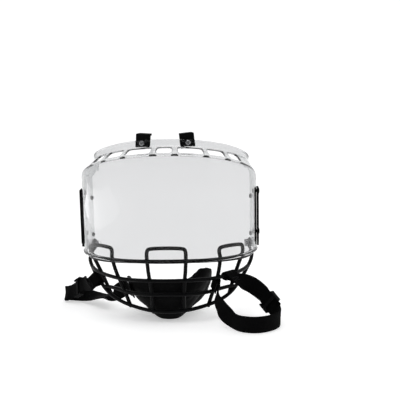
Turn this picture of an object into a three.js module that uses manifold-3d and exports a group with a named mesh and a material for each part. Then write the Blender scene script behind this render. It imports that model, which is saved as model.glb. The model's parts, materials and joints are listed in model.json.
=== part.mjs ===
import * as THREE from 'three';
import { mergeVertices } from 'three/addons/utils/BufferGeometryUtils.js';
import Module from 'manifold-3d';

const wasm = await Module();
wasm.setup();

// ---------------------------------------------------------------- driving dimensions, mm
// +X is the right-hand side, the window faces -Y, +Z is up.
// The origin lies on the flat patch under the chin cup, on the mid plane.
const VISOR_HALF = 107.9;      // half width of the window's outer face
const VISOR_DEPTH = 80;        // front of the window back to its widest point
const VISOR_FRONT = -48;       // y of the window's outer face at the middle
const WING_REAR = 75;          // y of the rear edge of both wings
const WING_HALF = 104.2;       // half width at the rear edge
const SHELL = 2.4;             // thickness of the clear shell
const LIP = 1.3;               // how far the lower lip stands out
const RAIL_HALF = 95;          // half width of the top rail's outer face
const RAIL_DEPTH = 75;
const RAIL_FRONT = -18;
const RAIL_REAR_HALF = 95;
const RAIL_RIGHT_EXTRA = 4;    // the rail's right end stands out further
const RAIL_TALL = 7.6;
const WIRE = 4.6;              // cage wire with its coating
const POST_BEND = 4;           // bend radius where a post pair is joined over the top
const FLANK_EXTRA = 3;         // how far the cage's left flank is set out at the rear
const WIRE_SIDES = 8;
const GAP = 0.35;              // clearance left between seated pieces
const CLIP_X = 27.1;           // centre of each top clip
const CLIP_WIDE = 17.5;
const CLIP_TALL = 17.5;
const CLIP_LEAN = [0.05, 0.08]; // outward lean of the left and right clip, radians
const CLIP_DROP = 10.4;        // rail's top edge down to the clip's lower edge
const CLIP_THICK = 3.2;
const CLIP_REACH = 11;
const CLIP_FACE = SHELL + 0.75; // the bowed rail comes nearer the clip's edges
const PLATE_Y = 32;
const PLATE_WIDE = 18;
const PLATE_LOW = 87.6;
const PLATE_HIGH = 155.6;
const PLATE_THICK = 2.2;
const RIVET_Z = [100.3, 150.8];
const STUD_Y = 67;
const STUD_Z = [91, 139];
const EYE_Y = 65;
const EYE_Z = 79;
const EYE_RADIUS = 4.6;        // centre line of the cage's eyelet
const CUP_HALF = 52;
const CUP_LEFT_EXTRA = 2;      // the left flank is pressed out a little
const CUP_FRONT = 44;
const CUP_BACK = 24;
const CUP_SHIFT = 20;
const CUP_WALL = 4.2;
const STRAP_WIDE = 20;
const STRAP_PINCHED = 12.4;    // width where the right strap is gathered between two rings
const STRAP_NARROWED = 17;     // width where the left strap goes round the chin ring
const STRAP_THICK = 1.8;
const CUP_REST = 1.2;          // strap's inner face to the cup's flank
const FOLD_GAP = 1.1;          // strap's inner face to the wire inside a fold
const SLIDER_LONG = 14;
const SLIDER_RAIL = 1.6;
const SLIDER_BAR = 1.6;

// ---------------------------------------------------------------- finishes
const FINISH = {
  clear_polycarbonate: ['#e9eff0', 0.06, 0.0],
  black_wire_coating: ['#17181a', 0.42, 0.1],
  black_cup_plastic: ['#161617', 0.62, 0.0],
  black_clip_plastic: ['#141415', 0.5, 0.0],
  black_webbing: ['#121213', 0.92, 0.0],
  dark_screw_steel: ['#3a3c40', 0.36, 0.9],
};

function finish(name) {
  const [color, roughness, metalness] = FINISH[name];
  const material = new THREE.MeshStandardMaterial({ color, roughness, metalness });
  material.name = name;
  return material;
}

function part(name, geometry, finishName) {
  const mesh = new THREE.Mesh(geometry, finish(finishName));
  mesh.name = name;
  return mesh;
}

// ---------------------------------------------------------------- solids
function weld(geometry) {
  const bare = geometry.clone();
  bare.deleteAttribute('normal');
  bare.deleteAttribute('uv');
  return mergeVertices(bare, 1e-4);
}

function toSolid(geometry) {
  const bare = weld(geometry);
  return new wasm.Manifold(new wasm.Mesh({
    numProp: 3,
    vertProperties: Float32Array.from(bare.attributes.position.array),
    triVerts: Uint32Array.from(bare.index.array),
  }));
}

function toGeometry(solid) {
  const mesh = solid.getMesh();
  const geometry = new THREE.BufferGeometry();
  geometry.setAttribute('position', new THREE.BufferAttribute(Float32Array.from(mesh.vertProperties), 3));
  geometry.setIndex(new THREE.BufferAttribute(Uint32Array.from(mesh.triVerts), 1));
  return geometry;
}

const toVector = (p) => new THREE.Vector3(...p);

function join(solids) {
  return solids.reduce((whole, solid) => whole.add(solid));
}

function cylinder(radius, from, to, sides = 20) {
  const a = new THREE.Vector3(...from);
  const b = new THREE.Vector3(...to);
  const axis = b.clone().sub(a);
  const geometry = new THREE.CylinderGeometry(radius, radius, axis.length(), sides);
  const turn = new THREE.Quaternion().setFromUnitVectors(
    new THREE.Vector3(0, 1, 0), axis.clone().normalize());
  geometry.applyQuaternion(turn);
  geometry.translate(...a.add(b).multiplyScalar(0.5).toArray());
  return geometry;
}

// A closed skin from quads: each quad lists four corner points, seen from outside.
function skin(quads) {
  const positions = [];
  for (const [a, b, c, d] of quads) {
    positions.push(...a, ...b, ...c, ...a, ...c, ...d);
  }
  const geometry = new THREE.BufferGeometry();
  geometry.setAttribute('position', new THREE.BufferAttribute(new Float32Array(positions), 3));
  return dropSlivers(mergeVertices(geometry, 1e-4));
}

// Triangles whose corners were welded together are left out.
function dropSlivers(geometry) {
  const index = Array.from(geometry.index.array);
  const kept = [];
  for (let i = 0; i < index.length; i += 3) {
    const [a, b, c] = index.slice(i, i + 3);
    if (a !== b && b !== c && a !== c) kept.push(a, b, c);
  }
  geometry.setIndex(kept);
  return geometry;
}

function mirrorX(points) {
  return points.map(([x, y, z]) => [-x, y, z]);
}

// ---------------------------------------------------------------- clear shell
// Outward plan of a bowed band: an ellipse in front, then a wing drawn slightly in.
function planPoint(u, half, depth, front, rearHalf) {
  const side = Math.sign(u);
  const s = Math.abs(u);
  if (s <= 1) {
    const angle = s * Math.PI / 2;
    return [side * half * Math.sin(angle), front + depth * (1 - Math.cos(angle))];
  }
  const t = s - 1;
  const y = front + depth + (WING_REAR - front - depth) * t;
  return [side * (half - (half - rearHalf) * t * t), y];
}

function windowPlan(u) {
  return planPoint(u, VISOR_HALF, VISOR_DEPTH, VISOR_FRONT, WING_HALF);
}

function railPlan(u) {
  const [x, y] = planPoint(u, RAIL_HALF, RAIL_DEPTH, RAIL_FRONT, RAIL_REAR_HALF);
  return [x + RAIL_RIGHT_EXTRA * Math.pow(Math.min(1, Math.max(0, u)), 4), y];
}

function lowerEdge(y) {
  const back = Math.max(0, (y - 32) / 43);
  return 78.2 - 0.7 * Math.min(1, (y + 48) / 80) - 4.2 * back;
}

function windowTop(y) {
  const k = Math.min(1, Math.max(0, (y + 48) / 80));
  return 206.2 - 34.6 * Math.pow(k, 1.05) - 4 * Math.max(0, (y - 32) / 43);
}

function railTop(y) {
  return 220.8 - 0.385 * (y + 18);
}

// Rows of the shell, lower edge to top edge: [inward share, height rule, lip share].
const SHELL_ROWS = [
  [0, (b) => b, 0.3],
  [0, (b) => b + 1.0, 1],
  [0, (b) => b + 3.0, 1],
  [0, (b) => b + 4.2, 0],
  [0, (b, s) => b + (s - b) * 0.35, 0],
  [0, (b, s) => b + (s - b) * 0.65, 0],
  [0, (b, s) => s - 4.6, 0],
  [0.02, (b, s) => s - 1.8, 0],
  [0.07, (b, s) => s - 0.3, 0],
  [0.17, (b, s, r) => s + 0.07 * (r - s), 0],
  [0.29, (b, s, r) => s + 0.18 * (r - s), 0],
  [0.56, (b, s, r) => s + 0.5 * (r - s), 0],
  [0.86, (b, s, r) => s + 0.86 * (r - s), 0],
  [0.965, (b, s, r) => r - 0.3, 0],
  [1, (b, s, r) => r + 1.2, 0],
  [1, (b, s, r, t) => t, 0],
];
const VENT_ROWS = [10, 12];
// Columns of one half: x on the window's plan; vents lie between the paired values.
const COLUMN_X = [0, 9.5, 17, 24.5, 32, 40, 48, 54, 61, 68, 74, 80, 86, 92];
const VENTS_X = [[0, 9.5], [17, 48], [54, 74], [80, 92]];
const COLUMN_TAIL = [0.69, 0.75, 0.81, 0.87, 0.935, 1, 1.16, 1.36, 1.55, 1.74, 1.88, 2];

function shellColumns() {
  const front = COLUMN_X.map((x) => Math.asin(x / VISOR_HALF) / (Math.PI / 2));
  const half = [...front, ...COLUMN_TAIL];
  return [...half.slice(1).reverse().map((u) => -u), ...half];
}

function shellPoint(u, row) {
  const [wx, wy] = windowPlan(u);
  const [rx, ry] = railPlan(u);
  const [inward, height] = SHELL_ROWS[row];
  const x = wx + (rx - wx) * inward;
  const y = wy + (ry - wy) * inward;
  const top = railTop(ry);
  return new THREE.Vector3(x, y, height(lowerEdge(wy), windowTop(wy), top - RAIL_TALL, top));
}

function gridNormal(points, i, j) {
  const last = points.length - 1;
  const high = points[0].length - 1;
  const along = points[Math.min(i + 1, last)][j].clone().sub(points[Math.max(i - 1, 0)][j]);
  const up = points[i][Math.min(j + 1, high)].clone().sub(points[i][Math.max(j - 1, 0)]);
  return along.cross(up).normalize();
}

function isVent(columnX, i, j) {
  if (j < VENT_ROWS[0] || j >= VENT_ROWS[1]) return false;
  const middle = Math.abs(columnX[i] + columnX[i + 1]) / 2;
  return VENTS_X.some(([from, to]) => middle > from && middle < to);
}

// The lip fades out before the screw at each rear corner.
function lipReach(u, row) {
  const fade = Math.min(1, Math.max(0, (1.62 - Math.abs(u)) / 0.26));
  return LIP * SHELL_ROWS[row][2] * fade;
}

function shellSkin() {
  const columns = shellColumns();
  const base = columns.map((u) => SHELL_ROWS.map((_, j) => shellPoint(u, j)));
  const outer = base.map((line, i) => line.map((p, j) =>
    p.clone().addScaledVector(gridNormal(base, i, j), lipReach(columns[i], j)).toArray()));
  const inner = base.map((line, i) => line.map((p, j) =>
    p.clone().addScaledVector(gridNormal(base, i, j), -SHELL).toArray()));
  const columnX = columns.map((u) => windowPlan(u)[0]);
  const lastI = columns.length - 1;
  const lastJ = SHELL_ROWS.length - 1;
  const open = (i, j) => i < 0 || j < 0 || i >= lastI || j >= lastJ || isVent(columnX, i, j);
  const quads = [];
  for (let i = 0; i < lastI; i += 1) {
    for (let j = 0; j < lastJ; j += 1) {
      if (open(i, j)) continue;
      quads.push([outer[i][j], outer[i + 1][j], outer[i + 1][j + 1], outer[i][j + 1]]);
      quads.push([inner[i][j], inner[i][j + 1], inner[i + 1][j + 1], inner[i + 1][j]]);
      if (open(i, j - 1)) quads.push([outer[i][j], inner[i][j], inner[i + 1][j], outer[i + 1][j]]);
      if (open(i, j + 1)) {
        quads.push([outer[i][j + 1], outer[i + 1][j + 1], inner[i + 1][j + 1], inner[i][j + 1]]);
      }
      if (open(i - 1, j)) quads.push([outer[i][j], outer[i][j + 1], inner[i][j + 1], inner[i][j]]);
      if (open(i + 1, j)) {
        quads.push([outer[i + 1][j], inner[i + 1][j], inner[i + 1][j + 1], outer[i + 1][j + 1]]);
      }
    }
  }
  return skin(quads);
}

// Plan point and outward direction on the wing at a given y.
function wingAt(y, side) {
  const t = (y - VISOR_FRONT - VISOR_DEPTH) / (WING_REAR - VISOR_FRONT - VISOR_DEPTH);
  const clamped = Math.max(0, t);
  const x = VISOR_HALF - (VISOR_HALF - WING_HALF) * clamped * clamped;
  const slope = 2 * (VISOR_HALF - WING_HALF) * clamped / (WING_REAR - VISOR_FRONT - VISOR_DEPTH);
  return { x: side * x, out: new THREE.Vector3(side, slope, 0).normalize() };
}

// Place on the wing's outer face, moved outward by reach.
function onWing(y, z, side, reach) {
  const { x, out } = wingAt(y, side);
  return [x + out.x * reach, y + out.y * reach, z];
}

function clipFrame(side) {
  const share = CLIP_X / RAIL_HALF;
  const y = RAIL_FRONT + RAIL_DEPTH * (1 - Math.sqrt(1 - share * share));
  const slope = RAIL_DEPTH * share / RAIL_HALF / Math.sqrt(1 - share * share);
  return new THREE.Matrix4().makeRotationZ(side * Math.atan(slope)).setPosition(side * CLIP_X, y, 0);
}

function clipScrewHeight() {
  return railTop(clipFrame(1).elements[13]) - 3.7;
}

function buildShell() {
  let solid = toSolid(shellSkin());
  for (const side of [-1, 1]) {
    for (const z of RIVET_Z) {
      const hole = cylinder(2.4, onWing(PLATE_Y, z, side, 6), onWing(PLATE_Y, z, side, -8));
      solid = solid.subtract(toSolid(hole));
    }
    for (const z of STUD_Z) {
      const hole = cylinder(1.9, onWing(STUD_Y, z, side, 6), onWing(STUD_Y, z, side, -8));
      solid = solid.subtract(toSolid(hole));
    }
    const eye = cylinder(2.35, onWing(EYE_Y, EYE_Z, side, 6), onWing(EYE_Y, EYE_Z, side, -6));
    solid = solid.subtract(toSolid(eye));
    const hole = cylinder(2.35, [0, -6, clipScrewHeight()], [0, 8, clipScrewHeight()]);
    hole.applyMatrix4(clipFrame(side));
    solid = solid.subtract(toSolid(hole));
  }
  return toGeometry(solid);
}

// ---------------------------------------------------------------- wire cage
// Half tables of the crossing rings, middle to side.
const LIP_RING = [[0, -43.1, 80], [24, -41, 79.7], [48, -34.2, 78.6], [70, -22.5, 77.2],
  [87, -6.2, 75.8], [97, 11.5, 74.9], [101.6, 29, 74.4]];
const RING_1 = [[0, -37, 55], [31, -33, 54.8], [54, -22.8, 54.2], [71.5, -6.5, 53.8], [84, 11, 53.6],
  [92, 25, 54.2], [97.1, 37.6, 55.1]];
const RING_2 = [[0, -31, 36.5], [25, -28.2, 36.1], [46, -18.2, 35.9], [64, -2.5, 36.7], [74, 7.4, 36.4],
  [81, 14.4, 34.7]];
const CHIN_RING = [[0, -24, 13.2], [22.5, -21.5, 14.4], [43, -13.5, 17.4], [56.5, -6.5, 20.6],
  [69, 2, 25.4], [78, 10.5, 31.4], [85.6, 20.5, 39.6], [94.4, 33, 50.8], [101.5, 46, 63.3], [102, 54, 70.8],
  [99.6, 60.6, 75.7]];
// Posts from the lip ring down, each one wire behind the rings it crosses.
const MID_POST = [[22.6, -37.2, 90], [22.8, -37.4, 80.8], [21.8, -34.6, 63.8], [20.2, -31, 49.8],
  [19.2, -27.5, 33.8], [18.8, -22.5, 19.8], [18.7, -18.7, 11.6]];
const INNER_POST = {
  right: [[61.5, -21.6, 87.8], [62.8, -21, 77.8], [60.6, -15.8, 59.8], [57.2, -12.8, 45.8],
    [52.6, -9.4, 31.8], [49, -6.8, 20.2], [47.8, -6, 15.8]],
  left: [[66, -19, 87.8], [66.2, -18.4, 77.8], [62.4, -14.6, 59.8], [57.2, -12.8, 45.8],
    [52.6, -9.4, 31.8], [49, -6.8, 20.2], [47.8, -6, 15.8]],
};
const OUTER_POST = {
  right: [[89.2, -0.4, 87.2], [88.8, 2.6, 77.8], [84.6, 7.4, 63.8], [80.6, 10, 51.8], [77, 11.8, 39.8],
    [74.2, 10.8, 31], [73.4, 10, 28.4]],
  left: [[94.8, 5, 87.2], [94, 7.5, 77.8], [89.6, 13, 63.8], [84.8, 15.6, 51.8], [79.6, 14, 39.8],
    [75.4, 11.2, 31], [73.8, 10, 28.4]],
};

function curveOf(points, closed = false) {
  return new THREE.CatmullRomCurve3(points.map((p) => new THREE.Vector3(...p)), closed, 'centripetal');
}

// The left flank is set out below the lip, more towards the rear.
function setOut([x, y, z]) {
  const share = Math.min(1, Math.max(0, y / 30)) * Math.min(1, Math.max(0, (72 - z) / 10));
  return [x + FLANK_EXTRA * share, y, z];
}

function bothHalves(half) {
  return [...mirrorX(half.slice(1).map(setOut)).reverse(), ...half];
}

function wire(points, closed = false, stations = 0) {
  const curve = curveOf(points, closed);
  const round = new THREE.Shape();
  for (let i = 0; i < WIRE_SIDES; i += 1) {
    const angle = (i + 0.5) * 2 * Math.PI / WIRE_SIDES;
    const x = WIRE / 2 * Math.cos(angle);
    const y = WIRE / 2 * Math.sin(angle);
    if (i === 0) round.moveTo(x, y);
    else round.lineTo(x, y);
  }
  round.closePath();
  const steps = stations || Math.max(8, Math.round(curve.getLength() / 7));
  const geometry = new THREE.ExtrudeGeometry(round, { steps, extrudePath: curve, bevelEnabled: false });
  return toSolid(geometry);
}

// A post pair joined over the top: two feet, two rounded corners.
function loopWire(first, second) {
  const [a, b] = [toVector(first[0]), toVector(second[0])];
  const across = b.clone().sub(a).normalize();
  const near = (foot, over, up) => foot.clone().addScaledVector(across, over * POST_BEND)
    .add(new THREE.Vector3(0, 0, up * POST_BEND)).toArray();
  const top = [near(a, 0.29, 0.71), near(a, 1, 1), near(b, -1, 1), near(b, -0.29, 0.71)];
  const path = [...first.slice(1).reverse(), first[0], ...top, second[0], ...second.slice(1)];
  return wire(path, false, path.length * 4);
}

function eyelet(side) {
  const { x, out } = wingAt(EYE_Y, side);
  const centre = new THREE.Vector3(x, EYE_Y, EYE_Z).addScaledVector(out, -(SHELL + GAP + WIRE / 2));
  const along = new THREE.Vector3(-out.y, out.x, 0);
  const points = [];
  for (let i = 0; i < 12; i += 1) {
    const angle = (i + 0.35) * Math.PI / 6;
    const p = centre.clone().addScaledVector(along, EYE_RADIUS * Math.cos(angle));
    points.push([p.x, p.y, p.z + EYE_RADIUS * Math.sin(angle)]);
  }
  return wire(points, true, 16);
}

function buildCage() {
  const wires = [LIP_RING, RING_1, RING_2, CHIN_RING].map((half) => wire(bothHalves(half)));
  wires.push(loopWire(mirrorX(MID_POST), MID_POST));
  wires.push(loopWire(INNER_POST.right, OUTER_POST.right));
  wires.push(loopWire(mirrorX(OUTER_POST.left), mirrorX(INNER_POST.left)));
  wires.push(eyelet(-1), eyelet(1));
  return toGeometry(join(wires));
}

// ---------------------------------------------------------------- chin cup
// Rim height by direction, degrees from the front; negative is the left side.
const RIM = [[-180, 10.5], [-142, 13], [-118, 25], [-102, 37], [-90, 47], [-78, 49.5], [-62, 48.5],
  [-48, 48.5], [-28, 50.4], [0, 50.8], [24, 51.3], [33, 54], [42, 59], [51, 63], [64, 61.8], [82, 58],
  [92, 52.5], [103, 41], [119, 27], [142, 14], [180, 10.5]];
// Bowl profile: [share of the plan radius, share of the rim height].
const BOWL = [[0.25, 0], [0.31, 0.03], [0.45, 0.15], [0.63, 0.35], [0.8, 0.54], [0.92, 0.74], [0.98, 0.88],
  [1, 1]];

function rimHeight(degrees) {
  const k = RIM.findIndex(([a]) => a >= degrees);
  if (k <= 0) return RIM[0][1];
  const [a0, h0] = RIM[k - 1];
  const [a1, h1] = RIM[k];
  const t = (degrees - a0) / (a1 - a0);
  return h0 + (h1 - h0) * t * t * (3 - 2 * t);
}

function cupPoint(degrees, share, lift, inset) {
  const angle = degrees * Math.PI / 180;
  const rise = rimHeight(degrees);
  const reach = Math.cos(angle) > 0 ? CUP_FRONT : CUP_BACK;
  const floor = inset > 0 ? CUP_WALL : 0;
  const close = inset * Math.min(1, share * 2);
  const slide = CUP_SHIFT * Math.pow(lift, 0.75);
  const half = degrees < 0 ? CUP_HALF + CUP_LEFT_EXTRA : CUP_HALF;
  const x = (half * share - close) * Math.sin(angle);
  const y = slide - (reach * share - close) * Math.cos(angle);
  return [x, y, floor + (rise - floor) * lift];
}

function buildCup() {
  const turns = 44;
  const rows = BOWL.map(([share, lift]) => [share, lift, 0]);
  rows.push([1, 1.02, CUP_WALL * 0.5]);
  rows.push(...[...BOWL].reverse().map(([share, lift]) => [share, lift, CUP_WALL]));
  const grid = [];
  for (let i = 0; i < turns; i += 1) {
    const degrees = -180 + 360 * i / turns;
    grid.push(rows.map(([share, lift, inset]) => cupPoint(degrees, share, lift, inset)));
  }
  const bottom = [0, 0, 0];
  const floor = [0, 0, CUP_WALL];
  const quads = [];
  for (let i = 0; i < turns; i += 1) {
    const a = grid[i];
    const b = grid[(i + 1) % turns];
    quads.push([bottom, b[0], a[0], bottom]);
    quads.push([floor, a[a.length - 1], b[b.length - 1], floor]);
    for (let j = 0; j + 1 < a.length; j += 1) quads.push([a[j], b[j], b[j + 1], a[j + 1]]);
  }
  return toGeometry(toSolid(skin(quads)));
}

// ---------------------------------------------------------------- clips, plates, screws
function roundedPanel(outline, radius, thickness) {
  const shape = new THREE.Shape();
  const n = outline.length;
  for (let i = 0; i < n; i += 1) {
    const here = new THREE.Vector2(...outline[i]);
    const before = new THREE.Vector2(...outline[(i + n - 1) % n]).sub(here).normalize();
    const after = new THREE.Vector2(...outline[(i + 1) % n]).sub(here).normalize();
    const start = here.clone().addScaledVector(before, radius);
    const end = here.clone().addScaledVector(after, radius);
    if (i === 0) shape.moveTo(start.x, start.y);
    else shape.lineTo(start.x, start.y);
    shape.quadraticCurveTo(here.x, here.y, end.x, end.y);
  }
  shape.closePath();
  return new THREE.ExtrudeGeometry(shape, { depth: thickness, bevelEnabled: false, curveSegments: 4 });
}

// Turn of a clip about its screw, outer corner up.
function clipLean(side) {
  const height = clipScrewHeight();
  const angle = -side * CLIP_LEAN[side < 0 ? 0 : 1];
  return new THREE.Matrix4().makeTranslation(0, 0, height)
    .multiply(new THREE.Matrix4().makeRotationY(angle))
    .multiply(new THREE.Matrix4().makeTranslation(0, 0, -height));
}

// Upright tab behind the top rail with a flange that reaches back over the helmet's edge.
function buildClip(side) {
  const low = clipScrewHeight() + 3.7 - CLIP_DROP;
  const half = CLIP_WIDE / 2;
  const tab = roundedPanel([[-half, 0], [half, 0], [half, CLIP_TALL], [-half, CLIP_TALL]], 1.2, CLIP_THICK);
  tab.rotateX(Math.PI / 2);
  tab.translate(0, CLIP_FACE + CLIP_THICK, low);
  const flange = new THREE.BoxGeometry(CLIP_WIDE - 2.4, CLIP_REACH, 2.6);
  flange.translate(0, CLIP_FACE + CLIP_REACH / 2, low + CLIP_TALL - 1.3);
  const hole = cylinder(2.35, [0, 0, clipScrewHeight()], [0, CLIP_FACE + 2.2, clipScrewHeight()]);
  const solid = toSolid(tab).add(toSolid(flange)).subtract(toSolid(hole));
  const geometry = toGeometry(solid);
  geometry.applyMatrix4(clipLean(side)).applyMatrix4(clipFrame(side));
  return geometry;
}

// Turned piece on +Y: list of [y, radius] from the far end to the head.
function turned(profile, sides = 16) {
  const points = profile.map(([y, r]) => new THREE.Vector2(r, y)).reverse();
  return toGeometry(toSolid(new THREE.LatheGeometry(points, sides)));
}

function buildClipScrew(side) {
  const profile = [[CLIP_FACE + 1.7, 0], [CLIP_FACE + 1.7, 2], [-0.35, 2], [-0.35, 3.2], [-1.2, 3.2],
    [-1.9, 2.4], [-2.1, 0]];
  const geometry = turned(profile);
  geometry.translate(0, 0, clipScrewHeight());
  geometry.applyMatrix4(clipFrame(side));
  return geometry;
}

// Turned piece set on a wing: +Y of the profile points inward from the outer face.
function onWingTurned(profile, y, z, side) {
  const { x, out } = wingAt(y, side);
  const geometry = turned(profile);
  const turn = new THREE.Quaternion().setFromUnitVectors(new THREE.Vector3(0, 1, 0), out.clone().negate());
  geometry.applyQuaternion(turn);
  geometry.translate(x, y, z);
  return geometry;
}

function buildPlate(side) {
  const outline = [[-9, PLATE_LOW], [-5, PLATE_LOW], [-5, PLATE_LOW - 4.6], [5, PLATE_LOW - 4.6],
    [5, PLATE_LOW], [9, PLATE_LOW], [9, PLATE_HIGH], [-9, PLATE_HIGH]];
  const plate = roundedPanel(outline.map(([y, z]) => [y * PLATE_WIDE / 18, z]), 1.8, PLATE_THICK);
  plate.rotateX(Math.PI / 2);
  plate.rotateZ(Math.PI / 2);
  plate.translate(side * (VISOR_HALF + GAP + PLATE_THICK / 2) - PLATE_THICK / 2, PLATE_Y, 0);
  let solid = toSolid(plate);
  for (const z of RIVET_Z) {
    const [near, far] = [side * (VISOR_HALF - 3), side * (VISOR_HALF + 8)];
    solid = solid.subtract(toSolid(cylinder(2.4, [near, PLATE_Y, z], [far, PLATE_Y, z])));
  }
  return toGeometry(solid);
}

function buildRivet(z, side) {
  const top = GAP + PLATE_THICK + 0.2;
  const profile = [[SHELL + 2.6, 0], [SHELL + 2.6, 2.6], [SHELL + 0.35, 3.2], [SHELL + 0.35, 2], [-top, 2],
    [-top, 3.6], [-top - 0.5, 3.2], [-top - 0.85, 1.8], [-top - 0.9, 0]];
  return onWingTurned(profile, PLATE_Y, z, side);
}

function buildStud(z, side) {
  const profile = [[SHELL + 2.4, 0], [SHELL + 2.4, 2.4], [SHELL + 0.35, 3], [SHELL + 0.35, 1.55],
    [-0.35, 1.55], [-0.35, 2.8], [-1.1, 2.3], [-1.2, 0]];
  return onWingTurned(profile, STUD_Y, z, side);
}

function buildCageScrew(side) {
  const deep = SHELL + GAP + WIRE + 0.4;
  const profile = [[deep + 2.2, 0], [deep + 2.2, 4.4], [deep, 4.8], [deep, 1.95], [-0.35, 1.95],
    [-0.35, 4.2], [-1.6, 3.8], [-2.1, 2.4], [-2.2, 0]];
  return onWingTurned(profile, EYE_Y, EYE_Z, side);
}

// ---------------------------------------------------------------- straps
// Point and direction of a wire where one coordinate has a given value.
function wireAt({ wire: points, axis, value }) {
  const curve = curveOf(points);
  let best = 0;
  const off = (t) => Math.abs(curve.getPoint(t).getComponent(axis) - value);
  for (let i = 0; i <= 400; i += 1) {
    if (off(i / 400) < off(best)) best = i / 400;
  }
  return { centre: curve.getPoint(best), along: curve.getTangent(best) };
}

// End of a strap folded round a wire, from the stitched tail to where the band runs free.
// Each station is [point, width direction, width]; flip picks the side of the wire the band leaves
// from and sense turns its width direction round.
function foldRound({ round, away, flip, sense = 1, wide = STRAP_WIDE }) {
  const { centre, along } = wireAt(round);
  along.multiplyScalar(sense);
  const out = toVector(away).addScaledVector(along, -toVector(away).dot(along)).normalize();
  const side = along.clone().cross(out).multiplyScalar(flip);
  const r = WIRE / 2 + FOLD_GAP + STRAP_THICK / 2;
  const shut = r - STRAP_THICK - 0.5;
  const place = (o, s) => centre.clone().addScaledVector(out, o).addScaledVector(side, s);
  const at = (o, s) => [place(o, s), along.clone(), wide];
  const flat = [[15, shut], [12, shut], [9.6, shut - 0.1], [7.4, shut - 1.2], [5, -1.9], [2.6, -3.4]];
  const list = flat.map(([o, s]) => at(o, s));
  for (let k = 0; k <= 7; k += 1) {
    const angle = Math.PI * (1.5 - k / 7);
    list.push(at(r * Math.cos(angle), r * Math.sin(angle)));
  }
  list.push(at(4, r), at(8, r), at(13, r));
  return list;
}

// End of a strap lying flat on the cup's flank, at the given directions round the cup.
function layOnCup(directions) {
  const share = 0.9;
  const lift = 0.7;
  return directions.map((degrees) => {
    const here = toVector(cupPoint(degrees, share, lift, 0));
    const up = toVector(cupPoint(degrees, share + 0.08, lift + 0.18, 0)).sub(here).normalize();
    const along = toVector(cupPoint(degrees + 1, share, lift, 0)).sub(here).normalize();
    const out = along.clone().cross(up).normalize();
    return [here.addScaledVector(out, CUP_REST + STRAP_THICK / 2), up, STRAP_WIDE];
  });
}

// Square the width direction to the band's own run.
function frameBand(stations) {
  const n = stations.length;
  return stations.map(([p, w, width], i) => {
    const before = stations[Math.max(0, i - 1)][0];
    const after = stations[Math.min(n - 1, i + 1)][0];
    const tangent = after.clone().sub(before).normalize();
    const wide = w.clone().addScaledVector(tangent, -w.dot(tangent)).normalize();
    return { p, wide, width, face: tangent.clone().cross(wide).normalize() };
  });
}

function bandSkin(stations, thick) {
  const corners = [[-1, -1], [1, -1], [1, 1], [-1, 1]];
  const rings = frameBand(stations).map(({ p, wide, width, face }) => corners.map(([a, b]) =>
    p.clone().addScaledVector(wide, a * width / 2).addScaledVector(face, b * thick / 2).toArray()));
  const quads = [];
  for (let i = 0; i + 1 < rings.length; i += 1) {
    for (let k = 0; k < 4; k += 1) {
      const m = (k + 1) % 4;
      quads.push([rings[i][k], rings[i][m], rings[i + 1][m], rings[i + 1][k]]);
    }
  }
  const first = rings[0];
  const last = rings[rings.length - 1];
  quads.push([first[3], first[2], first[1], first[0]]);
  quads.push([last[0], last[1], last[2], last[3]]);
  return skin(quads);
}

// Free run between the two folded ends; knots are [point, width direction, width].
function freeRun(knots, count) {
  const path = curveOf(knots.map(([p]) => p));
  const turns = knots.map(([, w]) => toVector(w).normalize());
  const turn = new THREE.CatmullRomCurve3(turns, false, 'catmullrom');
  const list = [];
  for (let i = 0; i <= count; i += 1) {
    const t = i / count;
    const first = Math.min(knots.length - 2, Math.floor(t * (knots.length - 1)));
    const [from, to] = [knots[first], knots[first + 1]].map(([, , wide = STRAP_WIDE]) => wide);
    const width = from + (to - from) * (t * (knots.length - 1) - first);
    list.push([path.getPoint(t), turn.getPoint(t).normalize(), width]);
  }
  return list;
}

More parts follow.
